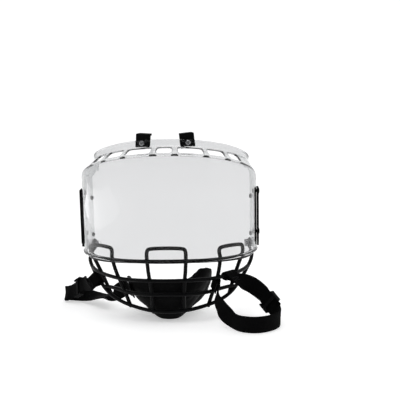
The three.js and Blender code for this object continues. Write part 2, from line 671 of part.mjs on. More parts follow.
// Knots run from the lower end to the upper fold; a slider's entry stands for a straight stretch.
const STRAPS = {
  right: {
    lower: {
      round: { wire: INNER_POST.right, axis: 2, value: 45.4 },
      away: [-0.05, -1, -0.15], flip: 1, sense: -1, wide: STRAP_PINCHED,
    },
    upper: { round: { wire: bothHalves(RING_1), axis: 0, value: 73 }, away: [1, -0.55, -0.75], flip: -1 },
    slider: { at: [121.3, -21.8, 24.4], along: [-0.57, 0.52, 0.62], wide: [0.1, 0.1, 1], flip: 1 },
    knots: [
      [[58.6, -36.5, 34], [0.3, -0.4, 0.8], 16],
      [[63.8, -43, 25], [0.3, -0.3, 0.85]],
      [[69, -47, 17.6], [0.3, 0, 0.93]],
      [[75.5, -51.4, 12.4], [0.12, 0, 1]],
      [[83, -59, 10.2], [0, 0, 1]],
      [[94.5, -66, 10.1], [0, 0, 1]],
      [[107, -66.6, 10.1], [0, 0, 1]],
      [[119, -60.5, 10.1], [0, 0, 1]],
      [[128, -51, 10.2], [0, 0, 1]],
      [[132.6, -41, 11.2], [0.04, 0.04, 1]],
      'slider',
      [[100, -8.2, 42.2], [0.45, 0.25, 0.85]],
    ],
  },
  left: {
    lower: { cup: [-64, -71, -78, -84] },
    upper: {
      round: { wire: bothHalves(CHIN_RING), axis: 0, value: -91 },
      away: [-0.75, 0.3, -0.3], flip: 1, sense: -1, wide: STRAP_NARROWED,
    },
    slider: { at: [-122.5, 56, 22.6], along: [0.66, -0.54, 0.51], wide: [-0.1, 0.6, 0.75], flip: -1 },
    knots: [
      [[-56.4, 19.6, 31.8], [-0.28, -0.15, 0.95]],
      [[-67, 26, 25], [-0.35, 0.3, 0.8]],
      [[-79, 40, 16.5], [-0.1, 0.97, -0.1]],
      [[-91, 53, 11], [0.1, 0.98, -0.05]],
      [[-104, 64.5, 8.2], [0.1, 0.92, 0.3]],
      [[-118, 72.5, 8], [0, 0.78, 0.62]],
      [[-132, 77, 8.2], [0, 0.7, 0.7]],
      [[-140.6, 78, 8.4], [0, 0.7, 0.7]],
      [[-143.2, 74.5, 9.6], [0, 0.7, 0.7]],
      [[-140, 69.5, 12], [0, 0.7, 0.7]],
      'slider',
    ],
  },
};

function sliderKnots({ at, along, wide }) {
  const direction = toVector(along).normalize();
  return [-1, -0.5, 0.5, 1].map((step) =>
    [toVector(at).addScaledVector(direction, step * SLIDER_LONG).toArray(), wide]);
}

function buildStrap(spec, count) {
  const start = spec.lower.cup ? layOnCup(spec.lower.cup) : foldRound(spec.lower);
  const end = foldRound(spec.upper).reverse();
  const flat = ([p, w, wide]) => [p.toArray(), w.toArray(), wide];
  const middle = spec.knots.flatMap((knot) => (knot === 'slider' ? sliderKnots(spec.slider) : [knot]));
  const run = freeRun([flat(start[start.length - 1]), ...middle, flat(end[0])], count);
  return bandSkin([...start.slice(0, -1), ...run, ...end.slice(1)], STRAP_THICK);
}

// Three-bar slide: the band lies flat between two outer bars and one inner bar.
function buildSlider({ at, along, wide, flip }) {
  const direction = toVector(along).normalize();
  const across = toVector(wide).addScaledVector(direction, -toVector(wide).dot(direction)).normalize();
  const face = direction.clone().cross(across).multiplyScalar(flip);
  const block = (x, y, z, long, broad, tall) => {
    const box = new THREE.BoxGeometry(long, broad, tall);
    box.translate(x, y, z);
    return toSolid(box);
  };
  const reach = STRAP_WIDE / 2 + 0.5;
  const bar = STRAP_THICK / 2 + GAP + SLIDER_BAR / 2;
  const rail = SLIDER_RAIL / 2 + reach;
  const tall = 2 * (bar + SLIDER_BAR / 2);
  const solids = [-1, 1].map((k) => block(0, k * rail, 0, SLIDER_LONG, SLIDER_RAIL, tall));
  const span = 2 * reach + SLIDER_RAIL;
  for (const k of [-1, 1]) solids.push(block(k * (SLIDER_LONG / 2 - 1.7), 0, bar, 3.4, span, SLIDER_BAR));
  solids.push(block(0, 0, -bar, 3.6, span, SLIDER_BAR));
  const geometry = toGeometry(join(solids));
  const turn = new THREE.Matrix4().makeBasis(direction, across, direction.clone().cross(across));
  if (face.dot(direction.clone().cross(across)) < 0) geometry.rotateX(Math.PI);
  geometry.applyMatrix4(turn);
  geometry.translate(...at);
  return geometry;
}

// ---------------------------------------------------------------- assembly
const group = new THREE.Group();
group.name = 'face_protector';
group.add(part('visor_shell', buildShell(), 'clear_polycarbonate'));
group.add(part('wire_cage', buildCage(), 'black_wire_coating'));
group.add(part('chin_cup', buildCup(), 'black_cup_plastic'));
for (const [word, side] of [['left', -1], ['right', 1]]) {
  group.add(part(`top_clip_${word}`, buildClip(side), 'black_clip_plastic'));
  group.add(part(`clip_screw_${word}`, buildClipScrew(side), 'dark_screw_steel'));
  group.add(part(`side_plate_${word}`, buildPlate(side), 'black_clip_plastic'));
  group.add(part(`plate_rivet_${word}_lower`, buildRivet(RIVET_Z[0], side), 'black_clip_plastic'));
  group.add(part(`plate_rivet_${word}_upper`, buildRivet(RIVET_Z[1], side), 'black_clip_plastic'));
  group.add(part(`wing_stud_${word}_lower`, buildStud(STUD_Z[0], side), 'black_clip_plastic'));
  group.add(part(`wing_stud_${word}_upper`, buildStud(STUD_Z[1], side), 'black_clip_plastic'));
  group.add(part(`cage_screw_${word}`, buildCageScrew(side), 'dark_screw_steel'));
}
for (const word of ['left', 'right']) {
  group.add(part(`chin_strap_${word}`, buildStrap(STRAPS[word], 72), 'black_webbing'));
  group.add(part(`strap_slider_${word}`, buildSlider(STRAPS[word].slider), 'black_clip_plastic'));
}

export default group;
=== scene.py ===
"""Full-face protector for an ice hockey helmet: clear window, wire chin cage, chin cup and straps.

Lengths in the tables below are millimetres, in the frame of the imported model: +X is the right-hand
side, the window faces -Y and +Z is up. They are turned into metres where a mesh is made.
"""

from __future__ import annotations

import json
import logging
import math
from dataclasses import dataclass, field
from enum import Enum
from typing import Iterable, Sequence

import bmesh
import bpy
from mathutils import Matrix, Vector

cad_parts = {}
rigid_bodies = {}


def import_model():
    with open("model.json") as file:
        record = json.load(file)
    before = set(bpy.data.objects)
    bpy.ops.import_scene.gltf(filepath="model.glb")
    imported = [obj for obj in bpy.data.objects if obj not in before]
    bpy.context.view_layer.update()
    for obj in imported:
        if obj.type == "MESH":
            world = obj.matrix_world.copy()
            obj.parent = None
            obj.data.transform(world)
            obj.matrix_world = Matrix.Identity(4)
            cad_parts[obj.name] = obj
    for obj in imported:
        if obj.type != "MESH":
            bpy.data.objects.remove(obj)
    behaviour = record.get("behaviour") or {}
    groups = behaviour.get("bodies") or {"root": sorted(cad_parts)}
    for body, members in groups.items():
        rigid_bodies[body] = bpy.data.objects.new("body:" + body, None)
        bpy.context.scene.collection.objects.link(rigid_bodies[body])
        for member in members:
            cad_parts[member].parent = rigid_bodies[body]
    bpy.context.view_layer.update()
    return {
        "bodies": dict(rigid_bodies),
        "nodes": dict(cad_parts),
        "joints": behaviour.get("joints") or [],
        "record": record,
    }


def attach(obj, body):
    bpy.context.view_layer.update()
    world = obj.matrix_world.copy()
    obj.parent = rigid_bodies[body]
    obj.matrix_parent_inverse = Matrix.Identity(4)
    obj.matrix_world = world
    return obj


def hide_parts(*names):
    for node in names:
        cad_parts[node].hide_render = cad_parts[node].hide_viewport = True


log = logging.getLogger("face_protector")

MM = 0.001
UP = Vector((0.0, 0.0, 1.0))
FIT_GAP = 0.35
WEBBING_WIDE = 20.0
WEBBING_THICK = 1.8

Point = Sequence[float]
Table = Sequence[Point]
Pair = tuple[float, float]
Knot = tuple[Point, Point] | tuple[Point, Point, float]
Station = tuple[Vector, Vector, float]


class Slot(Enum):
    """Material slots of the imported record."""

    WINDOW = "clear_polycarbonate"
    WIRE = "black_wire_coating"
    CUP = "black_cup_plastic"
    CLIP = "black_clip_plastic"
    WEBBING = "black_webbing"
    SCREW = "dark_screw_steel"


class Side(Enum):
    """The two sides of the protector, as the sign of X."""

    LEFT = -1
    RIGHT = 1

    @property
    def word(self) -> str:
        """The side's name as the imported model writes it."""
        return self.name.lower()


class Cut(Enum):
    """Ways of combining two solids."""

    ADD = "UNION"
    TAKE = "DIFFERENCE"


def held(value: float) -> float:
    """The value, held within 0 and 1."""
    return min(1.0, max(0.0, value))


# ---- node trees


class NodeGraph:
    """A node tree that is filled one node at a time.

    Args:
        tree: The empty node tree of a material or of the world.
    """

    def __init__(self, tree: bpy.types.NodeTree) -> None:
        """Keep the tree and empty it."""
        self.tree = tree
        tree.nodes.clear()

    def add(self, kind: str, inputs: dict | None = None, **settings: object) -> bpy.types.Node:
        """Add a node.

        Args:
            kind: Node type after "ShaderNode".
            inputs: Input name or number to a constant or to the socket that feeds it.
            **settings: Properties of the node.

        Returns:
            The new node.
        """
        node = self.tree.nodes.new("ShaderNode" + kind)
        node.location = (len(self.tree.nodes) * 40, -len(self.tree.nodes) * 30)
        for name, value in settings.items():
            setattr(node, name, value)
        for key, value in (inputs or {}).items():
            self.feed(node.inputs[key], value)
        return node

    def feed(self, socket: bpy.types.NodeSocket, value: object) -> None:
        """Link a socket to another one, or set its constant.

        Args:
            socket: Input that is fed.
            value: Output socket that feeds it, or its constant.
        """
        if isinstance(value, bpy.types.NodeSocket):
            self.tree.links.new(value, socket)
        else:
            socket.default_value = value

    def maths(self, operation: str, *values: object) -> bpy.types.NodeSocket:
        """Add a Math node.

        Args:
            operation: Blender's name of the operation.
            *values: Constants or sockets, in order.

        Returns:
            The node's output.
        """
        return self.add("Math", dict(enumerate(values)), operation=operation).outputs[0]

    def noise(self, place: bpy.types.NodeSocket, scale: float, detail: float = 3.0) -> bpy.types.NodeSocket:
        """Noise of a scale at a place, as a value."""
        return self.add("TexNoise", {"Vector": place, "Scale": scale, "Detail": detail}).outputs[0]

    def spread(self, value: bpy.types.NodeSocket, low: float, high: float,
               start: float = 0.3, end: float = 0.7) -> bpy.types.NodeSocket:
        """Stretch a value's range.

        Args:
            value: Socket to stretch.
            low: Result at start.
            high: Result at end.
            start: Input that gives low.
            end: Input that gives high.

        Returns:
            The stretched value, held within low and high.
        """
        keys = {"Value": value, "From Min": start, "From Max": end, "To Min": low, "To Max": high}
        return self.add("MapRange", keys).outputs[0]

    def blend(self, share: bpy.types.NodeSocket, first: Point | bpy.types.NodeSocket, second: Point
              ) -> bpy.types.NodeSocket:
        """Mix two colours.

        Args:
            share: Share of the second colour.
            first: Red, green and blue at a share of 0, or the socket that gives them.
            second: Red, green and blue at a share of 1.

        Returns:
            The mixed colour.
        """
        node = self.add("Mix", {"Factor": share}, data_type="RGBA")
        self.feed(node.inputs[6], first if isinstance(first, bpy.types.NodeSocket) else (*first, 1.0))
        self.feed(node.inputs[7], (*second, 1.0))
        return node.outputs[2]

    def bump(self, height: bpy.types.NodeSocket, depth: float, strength: float = 1.0,
             under: bpy.types.NodeSocket | None = None) -> bpy.types.NodeSocket:
        """Add a bump.

        Args:
            height: Height from 0 to 1.
            depth: Depth in millimetres.
            strength: Share of the bump that shows.
            under: Normal that this bump lies on.

        Returns:
            The bumped normal.
        """
        keys = {"Height": height, "Distance": depth * MM, "Strength": strength}
        if under is not None:
            keys["Normal"] = under
        return self.add("Bump", keys).outputs[0]

    def place(self) -> bpy.types.NodeSocket:
        """The piece's own coordinates, in metres."""
        return self.add("TexCoord").outputs["Object"]

    def surface(self, shader: bpy.types.NodeSocket) -> None:
        """Send a shader to the material's output."""
        self.add("OutputMaterial", {"Surface": shader})

    def principled(self, inputs: dict) -> None:
        """Add a Principled shader and send it to the material's output."""
        self.surface(self.add("BsdfPrincipled", inputs).outputs[0])


# ---- finishes


@dataclass(frozen=True)
class Finish:
    """A surface finish, made once and shared by the pieces that wear it."""

    name: str

    def material(self) -> bpy.types.Material:
        """Make the finish's material at the first call and keep it.

        Returns:
            The material.
        """
        found = bpy.data.materials.get(self.name)
        if found is not None:
            return found
        made = bpy.data.materials.new(self.name)
        made.use_nodes = True
        self.paint(NodeGraph(made.node_tree))
        return made

    def paint(self, graph: NodeGraph) -> None:
        """Fill the node tree; each finish has its own way."""
        raise NotImplementedError


@dataclass(frozen=True)
class ClearPolycarbonate(Finish):
    """Clear hard-coated moulding with faint flow lines, handling haze and hairline scratches.

    Attributes:
        tint: Colour of one face seen square on.
        edge_tint: Colour of one face seen edge-on, where more of the moulding lies in the way.
        index: Refractive index.
        mirror: Strength of the reflection seen square on.
        shade: Colour of the light that passes the moulding into its shadow.
    """

    name: str = "clear_hard_coat"
    tint: Point = (0.665, 0.668, 0.674)
    edge_tint: Point = (0.34, 0.375, 0.37)
    index: float = 1.585
    mirror: Point = (0.22, 0.22, 0.22)
    shade: Point = (0.93, 0.94, 0.945)

    def paint(self, graph: NodeGraph) -> None:
        """Fill the node tree.

        Args:
            graph: Graph of the material.
        """
        place = graph.place()
        stretched = graph.add("Mapping", {"Vector": place, "Scale": (26.0, 26.0, 4.0)}).outputs[0]
        haze = graph.noise(place, 22.0, 4.0)
        flow = graph.noise(stretched, 1.0, 2.0)
        fine = graph.add("Mapping", {"Vector": place, "Scale": (900.0, 900.0, 60.0),
                                     "Rotation": (0.2, 0.35, 0.0)}).outputs[0]
        hairlines = graph.spread(graph.noise(fine, 1.0, 2.0), 0.0, 1.0, 0.66, 0.72)
        rough = graph.maths("ADD", graph.spread(haze, 0.012, 0.05, 0.42, 0.75),
                            graph.maths("MULTIPLY", hairlines, 0.05))
        waves = graph.bump(flow, 0.9, 0.10)
        normal = graph.bump(hairlines, 0.01, 0.25, waves)
        facing = graph.add("LayerWeight", {"Blend": 0.5}).outputs["Facing"]
        colour = graph.blend(graph.spread(facing, 0.0, 1.0, 0.62, 0.96), self.tint, self.edge_tint)
        glass = graph.add("BsdfPrincipled", {
            "Base Color": colour, "Transmission Weight": 1.0, "IOR": self.index,
            "Roughness": rough, "Normal": normal, "Specular Tint": (*self.mirror, 1.0)})
        clear = graph.add("BsdfTransparent", {"Color": (*self.shade, 1.0)})
        lamp = graph.add("LightPath").outputs["Is Shadow Ray"]
        graph.surface(graph.add("MixShader", {0: lamp, 1: glass.outputs[0],
                                              2: clear.outputs[0]}).outputs[0])


@dataclass(frozen=True)
class CoatedWire(Finish):
    """Dipped black coating on wire: orange peel, soft sheen, rubbed patches."""

    name: str = "dipped_wire_coating"

    def paint(self, graph: NodeGraph) -> None:
        """Fill the node tree.

        Args:
            graph: Graph of the material.
        """
        place = graph.place()
        peel = graph.noise(place, 1300.0, 2.0)
        rubbed = graph.noise(place, 55.0, 5.0)
        colour = graph.blend(graph.spread(rubbed, 0.0, 1.0, 0.45, 0.75),
                             (0.0012, 0.0012, 0.0015), (0.0032, 0.0033, 0.0037))
        rough = graph.spread(rubbed, 0.27, 0.46)
        normal = graph.bump(graph.noise(place, 190.0, 2.0), 0.12, 0.5, graph.bump(peel, 0.03, 0.6))
        graph.principled({
            "Base Color": colour, "Roughness": rough, "Normal": normal,
            "Specular IOR Level": 0.07})


@dataclass(frozen=True)
class MouldedCup(Finish):
    """Matt black moulding with a leather-fine grain, scuffed lightly in random patches."""

    name: str = "grained_cup_moulding"

    def paint(self, graph: NodeGraph) -> None:
        """Fill the node tree.

        Args:
            graph: Graph of the material.
        """
        place = graph.place()
        cells = graph.add("TexVoronoi", {"Vector": place, "Scale": 1150.0}).outputs["Distance"]
        clouds = graph.noise(place, 42.0, 5.0)
        scuff = graph.spread(graph.noise(place, 260.0, 6.0), 0.0, 1.0, 0.62, 0.78)
        base = graph.blend(graph.spread(clouds, 0.0, 1.0),
                           (0.0026, 0.0026, 0.0028), (0.0048, 0.0048, 0.005))
        colour = graph.blend(graph.maths("MULTIPLY", scuff, 0.35), base, (0.014, 0.014, 0.0145))
        rough = graph.maths("ADD", graph.spread(clouds, 0.56, 0.68), graph.maths("MULTIPLY", scuff, 0.1))
        normal = graph.bump(cells, 0.09, 0.55, graph.bump(graph.noise(place, 90.0, 2.0), 0.2, 0.3))
        graph.principled({
            "Base Color": colour, "Roughness": rough, "Normal": normal,
            "Specular IOR Level": 0.035})


@dataclass(frozen=True)
class GrainedPlastic(Finish):
    """Spark-eroded black moulding of the clips, plates, studs and sliders."""

    name: str = "fine_grain_plastic"

    def paint(self, graph: NodeGraph) -> None:
        """Fill the node tree.

        Args:
            graph: Graph of the material.
        """
        place = graph.place()
        grain = graph.noise(place, 3200.0, 2.0)
        clouds = graph.noise(place, 120.0, 4.0)
        colour = graph.blend(graph.spread(clouds, 0.0, 1.0),
                             (0.0014, 0.0014, 0.0016), (0.0032, 0.0032, 0.0035))
        rough = graph.spread(clouds, 0.62, 0.76)
        normal = graph.bump(grain, 0.035, 0.6, graph.bump(clouds, 0.08, 0.2))
        graph.principled({
            "Base Color": colour, "Roughness": rough, "Normal": normal,
            "Specular IOR Level": 0.06})


@dataclass(frozen=True)
class BlackenedSteel(Finish):
    """Blackened screw steel, worn brighter in streaks."""

    name: str = "blackened_steel"

    def paint(self, graph: NodeGraph) -> None:
        """Fill the node tree.

        Args:
            graph: Graph of the material.
        """
        place = graph.place()
        wear = graph.noise(place, 700.0, 5.0)
        colour = graph.blend(graph.spread(wear, 0.0, 1.0, 0.45, 0.75),
                             (0.16, 0.161, 0.166), (0.5, 0.5, 0.51))
        rough = graph.spread(wear, 0.2, 0.34)
        normal = graph.bump(graph.noise(place, 2600.0, 2.0), 0.02, 0.5)
        graph.principled({
            "Base Color": colour, "Metallic": 1.0, "Roughness": rough, "Normal": normal})


@dataclass(frozen=True)
class Webbing(Finish):
    """Plain-woven narrow webbing: warp ribs along its length, weft crossing over and under them, with
    painted shade in the weave's valleys.

    The UV map holds millimetres divided by UV_SPAN, across and along the band.

    Attributes:
        rib: Millimetres from one warp rib to the next.
        pick: Millimetres from one weft thread to the next but one.
    """

    name: str = "woven_webbing"
    rib: float = 1.15
    pick: float = 1.7

    UV_SPAN = 20.0

    def paint(self, graph: NodeGraph) -> None:
        """Fill the node tree.

        Args:
            graph: Graph of the material.
        """
        maps = graph.add("TexCoord")
        parts = graph.add("SeparateXYZ", {0: maps.outputs["UV"]})
        across = graph.maths("MULTIPLY", parts.outputs[0], self.UV_SPAN / self.rib)
        along = graph.maths("MULTIPLY", parts.outputs[1], self.UV_SPAN / self.pick)
        parity = graph.maths("MODULO", graph.maths("FLOOR", across), 2.0)
        shifted = graph.maths("ADD", along, graph.maths("MULTIPLY", parity, 0.5))
        rib = graph.maths("ABSOLUTE", graph.maths("SINE", graph.maths("MULTIPLY", across, math.pi)))
        pick = graph.maths("SINE", graph.maths("MULTIPLY", shifted, 2.0 * math.pi))
        crossing = graph.maths("MULTIPLY_ADD", pick, 0.32, 0.62)
        height = graph.maths("MULTIPLY", rib, crossing)
        fuzz = graph.noise(maps.outputs["Object"], 1500.0, 4.0)
        worn = graph.noise(maps.outputs["Object"], 38.0, 4.0)
        # Painted shade: the colour is darker where the weave lies low, in the valleys between threads, with
        # fibre fuzz, times random wear.
        fuzz_and_valley_shade = graph.maths("MULTIPLY_ADD", fuzz, 0.35, height)
        share = graph.maths("MULTIPLY", graph.spread(fuzz_and_valley_shade, 0.1, 1.0, 0.2, 1.1),
                            graph.spread(worn, 0.45, 1.0))
        colour = graph.blend(share, (0.0004, 0.0004, 0.0005), (0.0024, 0.0024, 0.0027))
        normal = graph.bump(height, 0.34, 0.8, graph.bump(fuzz, 0.06, 0.5))
        graph.principled({
            "Base Color": colour, "Roughness": graph.spread(fuzz, 0.72, 0.92), "Normal": normal,
            "Specular IOR Level": 0.05, "Sheen Weight": 0.005, "Sheen Roughness": 0.4})


@dataclass(frozen=True)
class StitchThread(Finish):
    """Bonded black sewing thread with its twist, and painted shade in the twist's grooves."""

    name: str = "bonded_thread"

    def paint(self, graph: NodeGraph) -> None:
        """Fill the node tree.

        Args:
            graph: Graph of the material.
        """
        place = graph.place()
        twist = graph.add("TexWave", {"Vector": place, "Scale": 900.0, "Distortion": 1.5},
                          bands_direction="DIAGONAL").outputs["Fac"]
        # Painted shade: the thread is darker where its twist lies low.
        colour = graph.blend(twist, (0.002, 0.002, 0.0024), (0.010, 0.010, 0.0115))
        rough = graph.spread(twist, 0.45, 0.6, 0.0, 1.0)
        graph.principled({
            "Base Color": colour, "Roughness": rough, "Normal": graph.bump(twist, 0.06, 0.6),
            "Specular IOR Level": 0.15})


@dataclass(frozen=True)
class PaleSheet(Finish):
    """Pale sheet of the floor sweep, with emission that paints light on it, though it is no lamp.

    Attributes:
        glow: Strength of the painted light that the sheet emits.
        near_share: Share of that painted light that is left at the sheet's near end.
        fade: Metres along Y where the painted light starts to rise and where it is full.
    """

    name: str = "pale_sweep_sheet"
    glow: float = 0.42
    near_share: float = 0.6
    fade: Pair = (-0.9, -0.4)

    def paint(self, graph: NodeGraph) -> None:
        """Fill the node tree.

        Args:
            graph: Graph of the material.
        """
        place = graph.place()
        soft = graph.noise(place, 9.0, 3.0)
        colour = graph.blend(soft, (0.80, 0.80, 0.80), (0.815, 0.815, 0.815))
        depth = graph.add("SeparateXYZ", {0: place}).outputs[1]
        # Painted light: the sheet emits light of its own, fainter towards its near end.
        glow = graph.spread(depth, self.near_share * self.glow, self.glow, *self.fade)
        graph.principled({
            "Base Color": colour, "Roughness": graph.spread(soft, 0.75, 0.85),
            "Specular IOR Level": 0.1, "Emission Color": (1.0, 1.0, 1.0, 1.0),
            "Emission Strength": glow})


# ---- curves


class SmoothCurve:
    """Catmull-Rom curve through a list of points, parametrised from 0 to 1."""

    def __init__(self, points: Iterable[Point], closed: bool = False, even: bool = False) -> None:
        """Keep the points and the way they are joined.

        Args:
            points: Points that the curve passes.
            closed: Whether the last point is joined to the first.
            even: Whether the spacing of the points is ignored, as for a run of directions.
        """
        self.points = [Vector(p) for p in points]
        self.closed = closed
        self.even = even

    def _neighbours(self, first: int) -> tuple[Vector, Vector, Vector, Vector]:
        """The four points around a span.

        Args:
            first: Number of the point that the span starts at.

        Returns:
            The point before the span, both its ends and the point beyond.
        """
        points, count = self.points, len(self.points)
        here, after = points[first % count], points[(first + 1) % count]
        before = points[(first - 1) % count] if self.closed or first > 0 else 2 * points[0] - points[1]
        inside = self.closed or first + 2 < count
        beyond = points[(first + 2) % count] if inside else 2 * points[-1] - points[-2]
        return before, here, after, beyond

    def at(self, share: float) -> Vector:
        """Point of the curve.

        Args:
            share: Share of the curve, from 0 to 1.

        Returns:
            The point.
        """
        spans = len(self.points) - (0 if self.closed else 1)
        first = min(int(math.floor(share * spans)), spans - 1)
        t = share * spans - first
        p0, p1, p2, p3 = self._neighbours(first)
        if self.even:
            m1, m2 = (p2 - p0) / 2, (p3 - p1) / 2
        else:
            d0, d1, d2 = (max((b - a).length ** 0.5, 1e-6) for a, b in ((p0, p1), (p1, p2), (p2, p3)))
            m1 = ((p1 - p0) / d0 - (p2 - p0) / (d0 + d1) + (p2 - p1) / d1) * d1
            m2 = ((p2 - p1) / d1 - (p3 - p1) / (d1 + d2) + (p3 - p2) / d2) * d1
        bend = 2 * p1 - 2 * p2 + m1 + m2
        return p1 + m1 * t + (3 * p2 - 3 * p1 - 2 * m1 - m2) * t * t + bend * t * t * t

    def direction(self, share: float) -> Vector:
        """Unit direction of travel at a share of the curve."""
        low, high = max(0.0, share - 1e-4), min(1.0, share + 1e-4)
        return (self.at(high) - self.at(low)).normalized()

    def sample(self, count: int) -> list[Vector]:
        """Points at equal shares: count + 1 of them, or count on a closed curve."""
        last = count if self.closed else count + 1
        return [self.at(i / count) for i in range(last)]

    def length(self) -> float:
        """Length of the curve."""
        run = self.sample(240)
        return sum((b - a).length for a, b in zip(run, run[1:]))


def mirrored(points: Table) -> list[tuple[float, float, float]]:
    """The points on the other side of the middle plane."""
    return [(-x, y, z) for x, y, z in points]


# ---- meshes


class MeshMaker:
    """Collects faces in millimetres and turns them into a Blender object in metres."""

    def __init__(self) -> None:
        """Start an empty mesh."""
        self.mesh = bmesh.new()

    def point(self, place: Point) -> bmesh.types.BMVert:
        """Add a vertex."""
        return self.mesh.verts.new(Vector(place) * MM)

    def face(self, corners: Sequence[bmesh.types.BMVert]) -> bmesh.types.BMFace | None:
        """Add a face, unless two of its corners are one vertex."""
        unique = list(dict.fromkeys(corners))
        return self.mesh.faces.new(unique) if len(unique) > 2 else None

    def loft(self, rings: Sequence[Sequence[Point]], closed: bool = False
             ) -> list[list[bmesh.types.BMVert]]:
        """Join closed rings of equal count into a skin.

        Args:
            rings: Rings of points, each seen anticlockwise from the far end.
            closed: Whether the last ring joins the first.

        Returns:
            The vertices of each ring.
        """
        made = [[self.point(p) for p in ring] for ring in rings]
        pairs = list(zip(made, made[1:])) + ([(made[-1], made[0])] if closed else [])
        for low, high in pairs:
            for i, vertex in enumerate(low):
                j = (i + 1) % len(low)
                self.face([vertex, low[j], high[j], high[i]])
        return made

    def cap(self, ring: Sequence[bmesh.types.BMVert], tip: Point, flip: bool = False) -> None:
        """Close a ring with a fan to one point.

        Args:
            ring: Vertices of the ring.
            tip: The point.
            flip: Whether the fan faces the other way.
        """
        centre = self.point(tip)
        for i, vertex in enumerate(ring):
            j = (i + 1) % len(ring)
            self.face([vertex, centre, ring[j]] if flip else [vertex, ring[j], centre])

    def finish(self, name: str, look: Finish) -> bpy.types.Object:
        """Make the object, shaded smooth.

        Args:
            name: Piece name.
            look: Finish that the piece wears.

        Returns:
            The new object, linked to the scene.
        """
        bmesh.ops.recalc_face_normals(self.mesh, faces=self.mesh.faces)
        data = bpy.data.meshes.new(name)
        self.mesh.to_mesh(data)
        self.mesh.free()
        data.materials.append(look.material())
        shade_smooth(data)
        made = bpy.data.objects.new(name, data)
        bpy.context.scene.collection.objects.link(made)
        return made


def shade_smooth(data: bpy.types.Mesh) -> None:
    """Shade every face of a mesh smooth."""
    for polygon in data.polygons:
        polygon.use_smooth = True


def settle(piece: bpy.types.Object) -> bpy.types.Object:
    """Apply every modifier of a piece to its mesh.

    Args:
        piece: Piece with its modifiers.

    Returns:
        The piece, with none left.
    """
    bpy.context.view_layer.update()
    depsgraph = bpy.context.evaluated_depsgraph_get()
    solid = bpy.data.meshes.new_from_object(piece.evaluated_get(depsgraph))
    old, name = piece.data, piece.data.name
    piece.modifiers.clear()
    piece.data = solid
    bpy.data.meshes.remove(old)
    solid.name = name
    return piece


def combine(piece: bpy.types.Object, tool: bpy.types.Object, how: Cut, crossing: bool = False
            ) -> bpy.types.Object:
    """Add a solid to a piece or take it away, and remove the tool.

    Args:
        piece: Piece that is worked on.
        tool: The solid.
        how: Whether it is added or taken away.
        crossing: Whether either mesh may cross itself.

    Returns:
        The piece.
    """
    step = piece.modifiers.new("combine", "BOOLEAN")
    step.operation = how.value
    step.solver = "EXACT"
    step.use_self = crossing
    step.object = tool
    settle(piece)
    bpy.data.objects.remove(tool)
    return piece


def soften(piece: bpy.types.Object, width: float, angle: float = 35.0) -> bpy.types.Object:
    """Round a piece's hard edges in three steps.

    Args:
        piece: Piece to round.
        width: Width of the rounding in millimetres.
        angle: Least angle in degrees of an edge that is rounded.

    Returns:
        The piece.
    """
    step = piece.modifiers.new("soften", "BEVEL")
    step.width = width * MM
    step.segments = 3
    step.limit_method = "ANGLE"
    step.angle_limit = math.radians(angle)
    step.harden_normals = True
    step.use_clamp_overlap = True
    settle(piece)
    shade_smooth(piece.data)
    return piece


def refine(piece: bpy.types.Object, levels: int) -> bpy.types.Object:
    """Subdivide a piece into a smooth surface.

    Args:
        piece: Piece to subdivide.
        levels: Times that it is subdivided.

    Returns:
        The piece.
    """
    step = piece.modifiers.new("refine", "SUBSURF")
    step.levels = levels
    step.render_levels = levels
    return settle(piece)


def circle(centre: Vector, first: Vector, second: Vector, radius: float, sides: int) -> list[Vector]:
    """Points of a circle in the plane of two unit directions."""
    turns = (2 * math.pi * i / sides for i in range(sides))
    return [centre + (first * math.cos(a) + second * math.sin(a)) * radius for a in turns]


def carried_frames(path: Sequence[Vector], closed: bool) -> list[tuple[Vector, Vector]]:
    """Two directions across a path at each point, carried along without twist.

    Args:
        path: Points of the path.
        closed: Whether the path is a ring.

    Returns:
        Pairs of unit directions that make a right-handed frame with the direction of travel.
    """
    count = len(path)
    ahead = []
    for i in range(count):
        before = path[i - 1] if closed or i else path[0]
        after = path[(i + 1) % count] if closed or i + 1 < count else path[-1]
        ahead.append((after - before).normalized())
    start = UP if abs(ahead[0].dot(UP)) < 0.9 else Vector((1.0, 0.0, 0.0))
    first = (start - ahead[0] * start.dot(ahead[0])).normalized()
    frames = [(first, ahead[0].cross(first))]
    for one, two in zip(ahead, ahead[1:]):
        first = one.rotation_difference(two) @ frames[-1][0]
        first = (first - two * first.dot(two)).normalized()
        frames.append((first, two.cross(first)))
    return frames


def sweep_rod(maker: MeshMaker, path: Sequence[Vector], radius: float, sides: int = 14,
              closed: bool = False) -> None:
    """Sweep a round rod along a path, with domed ends.

    Args:
        maker: Mesh that takes the rod.
        path: Centre line.
        radius: Radius of the rod.
        sides: Sides of its section.
        closed: Whether the path is a ring.
    """
    frames = carried_frames(path, closed)
    rings = [circle(p, *frame, radius, sides) for p, frame in zip(path, frames)]
    if closed:
        maker.loft(rings, closed=True)
        return
    dome = [(0.38, 0.92), (0.71, 0.71), (0.92, 0.38)]
    out = [(path[0] - path[1]).normalized(), (path[-1] - path[-2]).normalized()]
    front = [circle(path[0] + out[0] * radius * rise, *frames[0], radius * wide, sides)
             for rise, wide in reversed(dome)]
    back = [circle(path[-1] + out[1] * radius * rise, *frames[-1], radius * wide, sides)
            for rise, wide in dome]
    made = maker.loft([*front, *rings, *back])
    maker.cap(made[0], path[0] + out[0] * radius, flip=True)
    maker.cap(made[-1], path[-1] + out[1] * radius)


